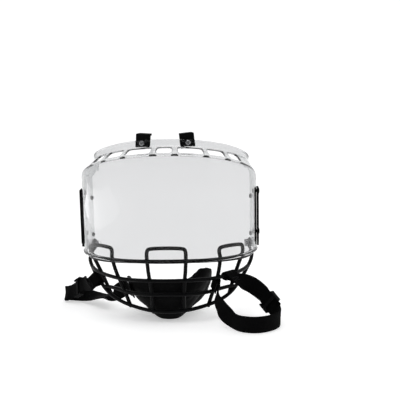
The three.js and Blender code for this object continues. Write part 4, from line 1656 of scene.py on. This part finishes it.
@dataclass
class WingHardware:
    """What is fixed to one wing: the side plate with two rivets, two studs and the cage screw.

    Attributes:
        plate_y, plate_low, plate_high, plate_thick: Depth, lower and upper end and thickness of the plate.
        rivet_z: Heights of the rivets.
        stud_y, stud_z: Depth and heights of the studs.
        rivet_bore, stud_bore, screw_bore: Radii of the holes in the wing.
    """

    cage: WireCage
    side: Side
    plate_y: float = 32.0
    plate_low: float = 87.6
    plate_high: float = 155.6
    plate_thick: float = 2.2
    rivet_z: Pair = (100.3, 150.8)
    stud_y: float = 67.0
    stud_z: Pair = (91.0, 139.0)
    rivet_bore: float = 2.4
    stud_bore: float = 1.9
    screw_bore: float = 2.35
    look: GrainedPlastic = GrainedPlastic()
    screw_look: BlackenedSteel = BlackenedSteel()

    @property
    def shell(self) -> ClearShell:
        """The shell that the cage hangs in."""
        return self.cage.shell

    def _turned(self, name: str, profile: Sequence[Pair], y: float, z: float,
                look: Finish, rounding: float = 0.3) -> bpy.types.Object:
        """Build a turned piece set through the wing.

        Args:
            name: Piece name.
            profile: Its profile, from the inner end to the outer one.
            y: Depth of its axis.
            z: Height of its axis.
            look: Finish of the piece.
            rounding: Rounding of the profile's corners.

        Returns:
            The piece.
        """
        maker = MeshMaker()
        turn_profile(maker, rounded_profile(profile, rounding), self.shell.on_wing(y, z, self.side), 36)
        return maker.finish(name, look)

    def _build_plate(self) -> None:
        """Build the plate with its holes."""
        out = self.side.value
        place = Matrix(((0.0, out, 0.0, out * (self.shell.half + FIT_GAP)),
                        (1.0, 0.0, 0.0, self.plate_y), (0.0, 0.0, 1.0, 0.0), (0.0, 0.0, 0.0, 1.0)))
        low, high = self.plate_low, self.plate_high
        corners = ((-9, low), (-5, low), (-5, low - 4.6), (5, low - 4.6), (5, low), (9, low), (9, high),
                   (-9, high))
        plate = slab(f"moulded_plate_{self.side.word}", rounded_outline(corners, 1.8), self.plate_thick,
                     place, self.look)
        maker = MeshMaker()
        for z in self.rivet_z:
            spot = place @ Matrix.Translation((0.0, 0.0, z))
            bore = [(-3.0, 0.0), (-3.0, self.rivet_bore), (6.0, self.rivet_bore), (6.0, 0.0)]
            turn_profile(maker, bore, spot, 28)
        combine(plate, maker.finish("holes", self.look), Cut.TAKE)
        fit(soften(plate, 0.5), [f"side_plate_{self.side.word}"])

    def _build_rivets(self) -> None:
        """Build both rivets of the plate."""
        deep, top = self.shell.wall, FIT_GAP + self.plate_thick + 0.2
        profile = [(deep + 2.6, 0.0), (deep + 2.6, 2.6), (deep + FIT_GAP, 3.2), (deep + FIT_GAP, 2.0),
                   (-top, 2.0), (-top, 3.6), (-top - 0.5, 3.25), (-top - 0.82, 1.9), (-top - 0.9, 0.0)]
        for word, z in zip(("lower", "upper"), self.rivet_z):
            node = f"{self.side.word}_{word}"
            rivet = self._turned(f"rivet_head_{node}", profile, self.plate_y, z, self.look)
            fit(rivet, [f"plate_rivet_{node}"])

    def _build_studs(self) -> None:
        """Build both studs at the wing's rear."""
        deep = self.shell.wall
        profile = [(deep + 2.4, 0.0), (deep + 2.4, 2.4), (deep + FIT_GAP, 3.0), (deep + FIT_GAP, 1.55),
                   (-FIT_GAP, 1.55), (-FIT_GAP, 2.8), (-1.05, 2.4), (-1.2, 1.2), (-1.21, 0.0)]
        for word, z in zip(("lower", "upper"), self.stud_z):
            node = f"{self.side.word}_{word}"
            stud = self._turned(f"stud_{node}", profile, self.stud_y, z, self.look)
            fit(stud, [f"wing_stud_{node}"])

    def _build_cage_screw(self) -> None:
        """Build the screw that holds the cage's eyelet to the wing."""
        deep = self.shell.wall + FIT_GAP + self.cage.gauge + 0.4
        profile = [(deep + 2.2, 0.0), (deep + 2.2, 4.4), (deep, 4.8), (deep, 1.95), (-FIT_GAP, 1.95),
                   (-FIT_GAP, 4.2), (-1.5, 3.9), (-2.1, 2.6), (-2.2, 1.3), (-2.21, 0.0)]
        name = f"cage_screw_head_{self.side.word}"
        screw = self._turned(name, profile, self.cage.eye_y, self.cage.eye_z, self.screw_look, 0.4)
        place = self.shell.on_wing(self.cage.eye_y, self.cage.eye_z, self.side)
        combine(screw, cross_recess(place, 2.3, -2.2, 1.4, self.screw_look), Cut.TAKE)
        fit(screw, [f"cage_screw_{self.side.word}"])

    def bores(self, maker: MeshMaker) -> None:
        """Add the solids of the holes that this side's hardware needs in the shell.

        Args:
            maker: Mesh that takes them.
        """
        for radius, y, heights in ((self.rivet_bore, self.plate_y, self.rivet_z),
                                   (self.stud_bore, self.stud_y, self.stud_z),
                                   (self.screw_bore, self.cage.eye_y, (self.cage.eye_z,))):
            for z in heights:
                place = self.shell.on_wing(y, z, self.side)
                turn_profile(maker, [(-6, 0), (-6, radius), (6, radius), (6, 0)], place, 32)

    def build(self) -> None:
        """Build everything on this wing."""
        self._build_plate()
        self._build_rivets()
        self._build_studs()
        self._build_cage_screw()


# ---- straps, sliders


@dataclass(frozen=True)
class WireFold:
    """End of a strap folded round a cage wire.

    Attributes:
        wire: Points of the wire that the strap goes round.
        axis: Coordinate, 0 to 2, that says where on the wire.
        value: Value of that coordinate.
        away: Direction in which the band leaves the wire.
        flip: Side of the wire that the band leaves from.
        sense: -1 turns the band's width direction round.
        wide: Width of the band where it goes round the wire.
    """

    wire: Table
    axis: int
    value: float
    away: Point
    flip: int
    sense: int = 1
    wide: float = WEBBING_WIDE

    def spot(self) -> tuple[Vector, Vector, Vector, Vector]:
        """Find the middle of the fold on the wire.

        Returns:
            The point, then the width, leaving and side directions.
        """
        curve = SmoothCurve(self.wire)
        share = min((i / 400 for i in range(401)), key=lambda t: abs(curve.at(t)[self.axis] - self.value))
        along = curve.direction(share) * self.sense
        out = Vector(self.away)
        out = (out - along * out.dot(along)).normalized()
        return curve.at(share), along, out, along.cross(out) * self.flip


@dataclass(frozen=True)
class CupEnd:
    """End of a strap lying on the cup's flank, at directions in degrees from the front."""

    directions: tuple[float, ...]


@dataclass(frozen=True)
class SliderSpot:
    """Where a slider sits on its strap.

    Attributes:
        at, along, wide: Middle, run of the band and width direction of the band.
        flip: -1 turns the slider over, so that its inner bar lies on the band's other face.
        long: Length of the slider.
    """

    at: Point
    along: Point
    wide: Point
    flip: int = 1
    long: float = 14.0

    def knots(self) -> list[Station]:
        """Knots that keep the band straight through the slider."""
        run = Vector(self.along).normalized()
        return [(Vector(self.at) + run * step * self.long, Vector(self.wide), WEBBING_WIDE)
                for step in (-1.0, -0.5, 0.5, 1.0)]


@dataclass
class ChinStrap:
    """Webbing strap from its lower end, through its slider, to a fold round the cage.

    Attributes:
        lower, upper, slider: How each end is held, and where the slider sits.
        knots: Points, width directions and, where it differs, widths of the run before the slider.
        after: The same, after the slider.
        width, thick: Section of the webbing.
        fold_gap: Room between a wire and the band round it.
        tail_gap: Room between the two layers of a fold's tail.
        cup_rest: Room between the cup and a band lying on it.
    """

    side: Side
    cage: WireCage
    cup: ChinCup
    lower: WireFold | CupEnd
    upper: WireFold
    slider: SliderSpot
    knots: Sequence[Knot]
    after: Sequence[Knot] = ()
    width: float = WEBBING_WIDE
    thick: float = WEBBING_THICK
    fold_gap: float = 1.1
    tail_gap: float = 0.5
    cup_rest: float = 1.2
    look: Webbing = Webbing()
    thread: StitchThread = StitchThread()

    def _fold_levels(self) -> Pair:
        """How far from the wire's middle the band's free run and its stitched tail lie."""
        reach = self.cage.gauge / 2 + self.fold_gap + self.thick / 2
        return reach, reach - self.thick - self.tail_gap

    def _fold(self, fold: WireFold) -> list[Station]:
        """Stations of a fold.

        Args:
            fold: Where the band is folded.

        Returns:
            The stations, from the stitched tail to where the band runs free.
        """
        centre, along, out, side = fold.spot()
        r, shut = self._fold_levels()
        flat = [(15, shut), (12, shut), (9.6, shut - 0.1), (7.4, shut - 1.2), (5, -1.9), (2.6, -3.4)]
        turns = [math.pi * (1.5 - k / 7) for k in range(8)]
        round_wire = [(r * math.cos(a), r * math.sin(a)) for a in turns]
        spots = [*flat, *round_wire, (4, r), (8, r), (13, r)]
        return [(centre + out * o + side * s, along.copy(), fold.wide) for o, s in spots]

    def _lie_on_cup(self, end: CupEnd) -> list[Station]:
        """Stations of a band lying flat on the cup's flank.

        Args:
            end: Directions that it lies at.

        Returns:
            The stations, in the order of the directions.
        """
        stations = []
        for degrees in end.directions:
            here = self.cup.at(degrees, 0.9, 0.7, 0.0)
            up = (self.cup.at(degrees, 0.98, 0.88, 0.0) - here).normalized()
            along = (self.cup.at(degrees + 1, 0.9, 0.7, 0.0) - here).normalized()
            out = along.cross(up).normalized()
            stations.append((here + out * (self.cup_rest + self.thick / 2), up, self.width))
        return stations

    def _smoothed(self, stations: Sequence[Station], count: int) -> list[Station]:
        """Stations on one smooth curve through the given ones.

        Args:
            stations: Stations that the curve goes through.
            count: Steps along the curve.

        Returns:
            The stations, one more than the steps.
        """
        path = SmoothCurve([p for p, _, _ in stations])
        turn = SmoothCurve([w.normalized() for _, w, _ in stations], even=True)
        widths = SmoothCurve([(wide, 0.0, 0.0) for _, _, wide in stations], even=True)
        shares = [i / count for i in range(count + 1)]
        return [(path.at(t), turn.at(t).normalized(), widths.at(t).x) for t in shares]

    def stations(self) -> list[Station]:
        """Lay the whole strap.

        Returns:
            Every station, from the lower end to the upper one.
        """
        start = self._lie_on_cup(self.lower) if isinstance(self.lower, CupEnd) else self._fold(self.lower)
        end = list(reversed(self._fold(self.upper)))
        before, after = ([(Vector(p), Vector(w), *(wide or [self.width])) for p, w, *wide in run]
                         for run in (self.knots, self.after))
        run = self._smoothed([start[-1], *before, *self.slider.knots(), *after, end[0]], 72)
        return [*start[:-1], *run, *end[1:]]

    def _section(self) -> list[Pair]:
        """Draw the band across: flat faces, rounded selvedges and fuller outer ribs.

        Returns:
            The outline, once round.
        """
        half, thick = self.width / 2, self.thick / 2 * 0.92
        top = []
        for k in range(17):
            across = -math.cos(math.pi * k / 16)
            edge = (1 - abs(across) ** 9) ** 0.5
            selvedge = 1.0 + 0.08 * math.exp(-(((abs(across) - 0.9) / 0.05) ** 2))
            top.append((across * half, thick * edge * selvedge))
        return [*top, *((x, -y) for x, y in reversed(top[1:-1]))]

    def _frames(self, stations: Sequence[Station]) -> list[tuple[Vector, Vector, Vector, float]]:
        """Set the band's section up along the strap.

        Args:
            stations: Stations of the strap.

        Returns:
            Point, width direction, face direction and share of the full width at each station.
        """
        last = len(stations) - 1
        frames = []
        for i, (place, across, wide) in enumerate(stations):
            ahead = (stations[min(i + 1, last)][0] - stations[max(i - 1, 0)][0]).normalized()
            square = (across - ahead * across.dot(ahead)).normalized()
            frames.append((place, square, ahead.cross(square).normalized(), wide / self.width))
        return frames

    def _band(self) -> tuple[bpy.types.Object, float]:
        """Build the band.

        Returns:
            The band and its length.
        """
        stations = self.stations()
        frames = self._frames(self._smoothed(stations, (len(stations) - 1) * 4))
        section = self._section()
        maker = MeshMaker()
        rings = [[p + w * a * share + f * b for a, b in section] for p, w, f, share in frames]
        made = maker.loft(rings)
        maker.mesh.faces.ensure_lookup_table()
        uv = maker.mesh.loops.layers.uv.new("weave")
        lengths = [0.0]
        for one, two in zip(frames, frames[1:]):
            lengths.append(lengths[-1] + (two[0] - one[0]).length)
        spots = {}
        for ring, along in zip(made, lengths):
            for vertex, (across, _) in zip(ring, section):
                spots[vertex] = ((across + self.width / 2) / Webbing.UV_SPAN, along / Webbing.UV_SPAN)
        for ring, turned in ((made[0], True), (made[-1], False)):
            maker.face(list(reversed(ring)) if turned else ring)
        for face in maker.mesh.faces:
            for loop in face.loops:
                loop[uv].uv = spots[loop.vert]
        return maker.finish(f"webbing_{self.side.word}", self.look), lengths[-1]

    def _stitch(self, maker: MeshMaker, one: Vector, two: Vector, out: Vector) -> None:
        """One thread stitch lying on the band between two points."""
        run = [one - out * 0.22, one + out * 0.12, one.lerp(two, 0.5) + out * 0.2, two + out * 0.12,
               two - out * 0.22]
        sweep_rod(maker, SmoothCurve(run).sample(8), 0.24, 8)

    def _stitch_line(self, maker: MeshMaker, one: Vector, two: Vector, out: Vector) -> None:
        """A row of stitches between two points.

        Args:
            maker: Mesh that takes them.
            one: Start of the row.
            two: End of the row.
            out: Direction out of the band's face.
        """
        count = max(1, round((two - one).length / 2.5))
        for i in range(count):
            start, end = one.lerp(two, (i + 0.1) / count), one.lerp(two, (i + 0.9) / count)
            self._stitch(maker, start, end, out)

    def _box_seam(self, fold: WireFold, maker: MeshMaker) -> None:
        """Sewn box with a cross through both layers of a fold's tail.

        Args:
            fold: The fold.
            maker: Mesh that takes the stitches.
        """
        centre, along, out, side = fold.spot()
        r, shut = self._fold_levels()
        lean = 0.92 * self.thick / 2
        half = fold.wide * 0.38
        for level, face in ((r + lean, side), (shut - lean, -side)):
            corners = [centre + out * o + along * a + side * level
                       for o, a in ((9.4, -half), (9.4, half), (14.3, half), (14.3, -half))]
            for one, two in zip(corners, [*corners[1:], corners[0]]):
                self._stitch_line(maker, one, two, face)
            self._stitch_line(maker, corners[0], corners[2], face)
            self._stitch_line(maker, corners[1], corners[3], face)

    def build(self) -> bpy.types.Object:
        """Returns:
            The band.
        """
        band, length = self._band()
        fit(band, [f"chin_strap_{self.side.word}"])
        maker = MeshMaker()
        self._box_seam(self.upper, maker)
        if isinstance(self.lower, WireFold):
            self._box_seam(self.lower, maker)
        seam = fit(maker.finish(f"strap_stitching_{self.side.word}", self.thread), [])
        log.info("%s: %.0f mm of webbing", band.name, length)
        return band


@dataclass
class StrapSlider:
    """Three-bar slide: the band lies flat between two outer bars and one inner bar.

    Attributes:
        rail, bar: Thickness of the rails beside the band and of the bars across it.
        end_bar, mid_bar: Length along the band of an outer bar, and half that of the inner one.
    """

    side: Side
    spot: SliderSpot
    rail: float = 1.6
    bar: float = 1.6
    end_bar: float = 3.4
    mid_bar: float = 1.8
    look: GrainedPlastic = GrainedPlastic()

    def _place(self) -> Matrix:
        """Turn the slide: X runs along the band, Y across it and Z out of its face.

        Returns:
            The place as a matrix.
        """
        along = Vector(self.spot.along).normalized()
        wide = Vector(self.spot.wide)
        across = (wide - along * wide.dot(along)).normalized() * self.spot.flip
        columns = Matrix((along, across, along.cross(across))).transposed().to_4x4()
        return Matrix.Translation(self.spot.at) @ columns

    def build(self) -> bpy.types.Object:
        """Build the slide and dress it.

        Returns:
            The slide.
        """
        reach = WEBBING_WIDE / 2 + 0.5
        level = WEBBING_THICK / 2 + FIT_GAP + self.bar / 2
        tall = level + self.bar / 2
        wide, long = reach + self.rail, self.spot.long / 2
        place = self._place()
        name = f"slide_frame_{self.side.word}"
        frame = block(name, (-long, reach, -tall), (long, wide, tall), place, self.look)
        inner = reach + self.rail / 2
        others = (((-long, -wide, -tall), (long, -reach, tall)),
                  ((long - self.end_bar, -inner, level - self.bar / 2), (long, inner, tall)),
                  ((-long, -inner, level - self.bar / 2), (self.end_bar - long, inner, tall)),
                  ((-self.mid_bar, -inner, -tall), (self.mid_bar, inner, self.bar / 2 - level)))
        for low, high in others:
            combine(frame, block("bar", low, high, place, self.look), Cut.ADD)
        return fit(soften(frame, 0.55), [f"strap_slider_{self.side.word}"])


# ---- studio


@dataclass(frozen=True)
class SoftLamp:
    """A large soft lamp aimed at a point, in metres, which shows only in what it lights and in reflections.

    Attributes:
        name: Name of the lamp.
        place: Where it hangs.
        aim: What it points at.
        size: Width and height of its face.
        watts: Power.
    """

    name: str
    place: Point
    aim: Point
    size: Pair
    watts: float

    def hang(self) -> bpy.types.Object:
        """Add the lamp to the scene.

        Returns:
            The lamp.
        """
        data = bpy.data.lights.new(self.name, "AREA")
        data.shape = "RECTANGLE"
        data.size, data.size_y = self.size
        data.energy = self.watts
        lamp = bpy.data.objects.new(self.name, data)
        lamp.location = self.place
        run = Vector(self.aim) - Vector(self.place)
        lamp.rotation_euler = run.to_track_quat("-Z", "Y").to_euler()
        lamp.visible_camera = False
        lamp.visible_transmission = False
        bpy.context.scene.collection.objects.link(lamp)
        return lamp


@dataclass
class Studio:
    """Camera, pale sweep, soft lamps and a pale surround.

    Attributes:
        azimuth: Degrees that the camera stands round from straight in front, towards +X.
        elevation: Degrees above level.
        roll: Degrees that the camera is turned about its own axis.
        distance: Metres from the camera to its target.
        target: What the camera's axis passes through.
        focal: Focal length over the frame's width.
        shift: Shift of the frame, as shares of its width.
        sensor: Width of the camera's frame in millimetres.
        surround: Strength of the light from all round.
        dim_side: Its colour on the camera's side; it is white behind.
        lamps: The soft lamps.
        floor: Y of the floor's rows, in metres, up to where it curves up.
        bend: Radius of that curve.
        wall: Heights of the backdrop's rows.
        across: X of the sweep's columns.
        sink: How far the floor lies under the protector.
    """

    azimuth: float = 4.2
    elevation: float = 11.0
    roll: float = 1.4
    distance: float = 1.05
    target: Point = (0.0, 0.0, 0.115)
    focal: float = 2.17
    shift: Pair = (0.0805, 0.0628)
    sensor: float = 36.0
    surround: float = 0.62
    dim_side: Point = (0.26, 0.265, 0.28)
    lamps: tuple[SoftLamp, ...] = (
        SoftLamp("key_overhead", (0.1, -0.35, 1.3), (0.0, 0.0, 0.1), (1.3, 0.35), 5.5),
        SoftLamp("fill_left", (-1.2, -0.7, 0.6), (0.0, 0.0, 0.1), (0.9, 1.2), 3.4),
        SoftLamp("fill_right", (1.2, -0.6, 0.55), (0.0, 0.0, 0.1), (0.9, 1.2), 2.6),
        SoftLamp("back_wash", (0.0, 1.0, 1.1), (0.0, 1.6, 0.2), (1.8, 0.8), 3.2),
        SoftLamp("low_card_near", (-0.72, -0.05, 0.004), (-0.72, -0.05, 1.0), (0.5, 1.3), 1.8),
        SoftLamp("low_card_far", (-0.9, 0.05, 0.003), (-0.9, 0.05, 1.0), (0.5, 1.1), 3.2),
    )
    floor: Sequence[float] = (-2.5, -1.2, -0.4, 0.4, 0.95)
    bend: float = 0.9
    wall: Sequence[float] = (1.5, 2.6)
    across: Sequence[float] = (-3.0, -1.8, -0.9, -0.3, 0.3, 0.9, 1.8, 3.0)
    sink: float = 0.0004

    def set_camera(self) -> None:
        """Add the camera."""
        a, e, r = (math.radians(v) for v in (self.azimuth, self.elevation, self.roll))
        back = Vector((math.sin(a) * math.cos(e), -math.cos(a) * math.cos(e), math.sin(e)))
        right = (-back).cross(UP).normalized()
        up = right.cross(-back)
        turned_right = right * math.cos(r) - up * math.sin(r)
        turned_up = up * math.cos(r) + right * math.sin(r)
        data = bpy.data.cameras.new("camera")
        data.sensor_width = self.sensor
        data.lens = self.sensor * self.focal
        data.shift_x, data.shift_y = self.shift
        data.clip_end = 20.0
        camera = bpy.data.objects.new("camera", data)
        turn = Matrix((turned_right, turned_up, back)).transposed().to_4x4()
        camera.matrix_world = Matrix.Translation(Vector(self.target) + back * self.distance) @ turn
        bpy.context.scene.collection.objects.link(camera)
        bpy.context.scene.camera = camera

    def _lay_sweep(self) -> None:
        """Add the floor that curves up into the backdrop."""
        start = self.floor[-1]
        turns = [math.radians(a) for a in range(9, 91, 9)]
        profile = [(y, 0.0) for y in self.floor]
        profile += [(start + self.bend * math.sin(a), self.bend - self.bend * math.cos(a)) for a in turns]
        profile += [(start + self.bend, z) for z in self.wall]
        mesh = bmesh.new()
        grid = [[mesh.verts.new((x, y, z - self.sink)) for x in self.across] for y, z in profile]
        for low, high in zip(grid, grid[1:]):
            for i in range(len(self.across) - 1):
                mesh.faces.new((low[i], low[i + 1], high[i + 1], high[i]))
        data = bpy.data.meshes.new("floor_sweep")
        mesh.to_mesh(data)
        mesh.free()
        data.materials.append(PaleSheet().material())
        shade_smooth(data)
        sweep = bpy.data.objects.new("floor_sweep", data)
        bpy.context.scene.collection.objects.link(sweep)

    def _set_surround(self) -> None:
        """Light everything from all round: bright from behind and above, dim from the camera's side."""
        world = bpy.data.worlds.new("pale_surround")
        world.use_nodes = True
        bpy.context.scene.world = world
        graph = NodeGraph(world.node_tree)
        run = graph.add("SeparateXYZ", {0: graph.add("TexCoord").outputs["Generated"]})
        behind = graph.spread(run.outputs[1], 0.0, 1.0, -0.5, 0.3)
        above = graph.spread(run.outputs[2], 0.0, 0.45, 0.25, 0.9)
        share = graph.maths("MINIMUM", graph.maths("ADD", behind, above), 1.0)
        colour = graph.blend(share, self.dim_side, (1.0, 1.0, 1.0))
        light = graph.add("Background", {"Color": colour, "Strength": self.surround})
        graph.add("OutputWorld", {"Surface": light.outputs[0]})

    def build(self) -> None:
        """Set the camera, then the sweep, the lamps and the surround."""
        self.set_camera()
        self._lay_sweep()
        for lamp in self.lamps:
            lamp.hang()
        self._set_surround()
        bpy.context.scene.view_settings.view_transform = "Standard"


# ---- assembly


RIGHT_SLIDER = SliderSpot((121.3, -21.8, 24.4), (-0.57, 0.52, 0.62), (0.1, 0.1, 1))
LEFT_SLIDER = SliderSpot((-122.5, 56, 22.6), (0.66, -0.54, 0.51), (-0.1, 0.6, 0.75), flip=-1)

# Knots: point, width direction and, where the band is gathered, its width.
RIGHT_KNOTS = (
    ((58.6, -36.5, 34), (0.3, -0.4, 0.8), 16),
    ((63.8, -43, 25), (0.3, -0.3, 0.85)),
    ((69, -47, 17.6), (0.3, 0, 0.93)),
    ((75.5, -51.4, 12.4), (0.12, 0, 1)),
    ((83, -59, 10.2), (0, 0, 1)),
    ((94.5, -66, 10.1), (0, 0, 1)),
    ((107, -66.6, 10.1), (0, 0, 1)),
    ((119, -60.5, 10.1), (0, 0, 1)),
    ((128, -51, 10.2), (0, 0, 1)),
    ((132.6, -41, 11.2), (0.04, 0.04, 1)),
)
RIGHT_LAST = (((100, -8.2, 42.2), (0.45, 0.25, 0.85)),)
LEFT_KNOTS = (
    ((-56.4, 19.6, 31.8), (-0.28, -0.15, 0.95)),
    ((-67, 26, 25), (-0.35, 0.3, 0.8)),
    ((-79, 40, 16.5), (-0.1, 0.97, -0.1)),
    ((-91, 53, 11), (0.1, 0.98, -0.05)),
    ((-104, 64.5, 8.2), (0.1, 0.92, 0.3)),
    ((-118, 72.5, 8), (0, 0.78, 0.62)),
    ((-132, 77, 8.2), (0, 0.7, 0.7)),
    ((-140.6, 78, 8.4), (0, 0.7, 0.7)),
    ((-143.2, 74.5, 9.6), (0, 0.7, 0.7)),
    ((-140, 69.5, 12), (0, 0.7, 0.7)),
)


def build_straps(cage: WireCage, cup: ChinCup) -> None:
    """Build both chin straps.

    Args:
        cage: The cage that the straps are folded round.
        cup: The cup that the left strap's lower end lies on.
    """
    right = ChinStrap(
        Side.RIGHT, cage, cup,
        lower=WireFold(cage.inner_right, 2, 45.4, (-0.05, -1, -0.15), 1, sense=-1, wide=12.4),
        upper=WireFold(cage.whole(cage.upper_ring), 0, 73, (1, -0.55, -0.75), -1),
        slider=RIGHT_SLIDER, knots=RIGHT_KNOTS, after=RIGHT_LAST)
    left = ChinStrap(
        Side.LEFT, cage, cup,
        lower=CupEnd((-64, -71, -78, -84)),
        upper=WireFold(cage.whole(cage.chin_ring), 0, -91, (-0.75, 0.3, -0.3), 1, sense=-1, wide=17),
        slider=LEFT_SLIDER, knots=LEFT_KNOTS)
    right.build()
    left.build()


def bore_shell(moulding: bpy.types.Object, clips: Sequence[TopClip], wings: Sequence[WingHardware]) -> None:
    """Cut the holes of every screw, rivet and stud into the clear shell.

    Args:
        moulding: The shell.
        clips: Both top clips.
        wings: The hardware of both wings.
    """
    maker = MeshMaker()
    for clip in clips:
        turn_profile(maker, [(-6, 0), (-6, clip.bore), (6, clip.bore), (6, 0)], clip.screw_place(), 32)
    for wing in wings:
        wing.bores(maker)
    combine(moulding, maker.finish("bores", ClearPolycarbonate()), Cut.TAKE)
    shade_smooth(moulding.data)


def main() -> None:
    """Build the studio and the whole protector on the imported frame."""
    logging.basicConfig(level=logging.INFO, format="%(name)s: %(message)s")
    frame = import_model()
    log.info("frame of %d nodes", len(frame["nodes"]))
    Studio().build()
    shell, cup = ClearShell(), ChinCup()
    cage = WireCage(shell)
    build_straps(cage, cup)
    for side, spot in ((Side.LEFT, LEFT_SLIDER), (Side.RIGHT, RIGHT_SLIDER)):
        StrapSlider(side, spot).build()
    clips = [TopClip(shell, side) for side in Side]
    wings = [WingHardware(cage, side) for side in Side]
    moulding = shell.build()
    bore_shell(moulding, clips, wings)
    cage.build()
    cup.build()
    for piece in (*clips, *wings):
        piece.build()


if __name__ == "__main__":
    main()
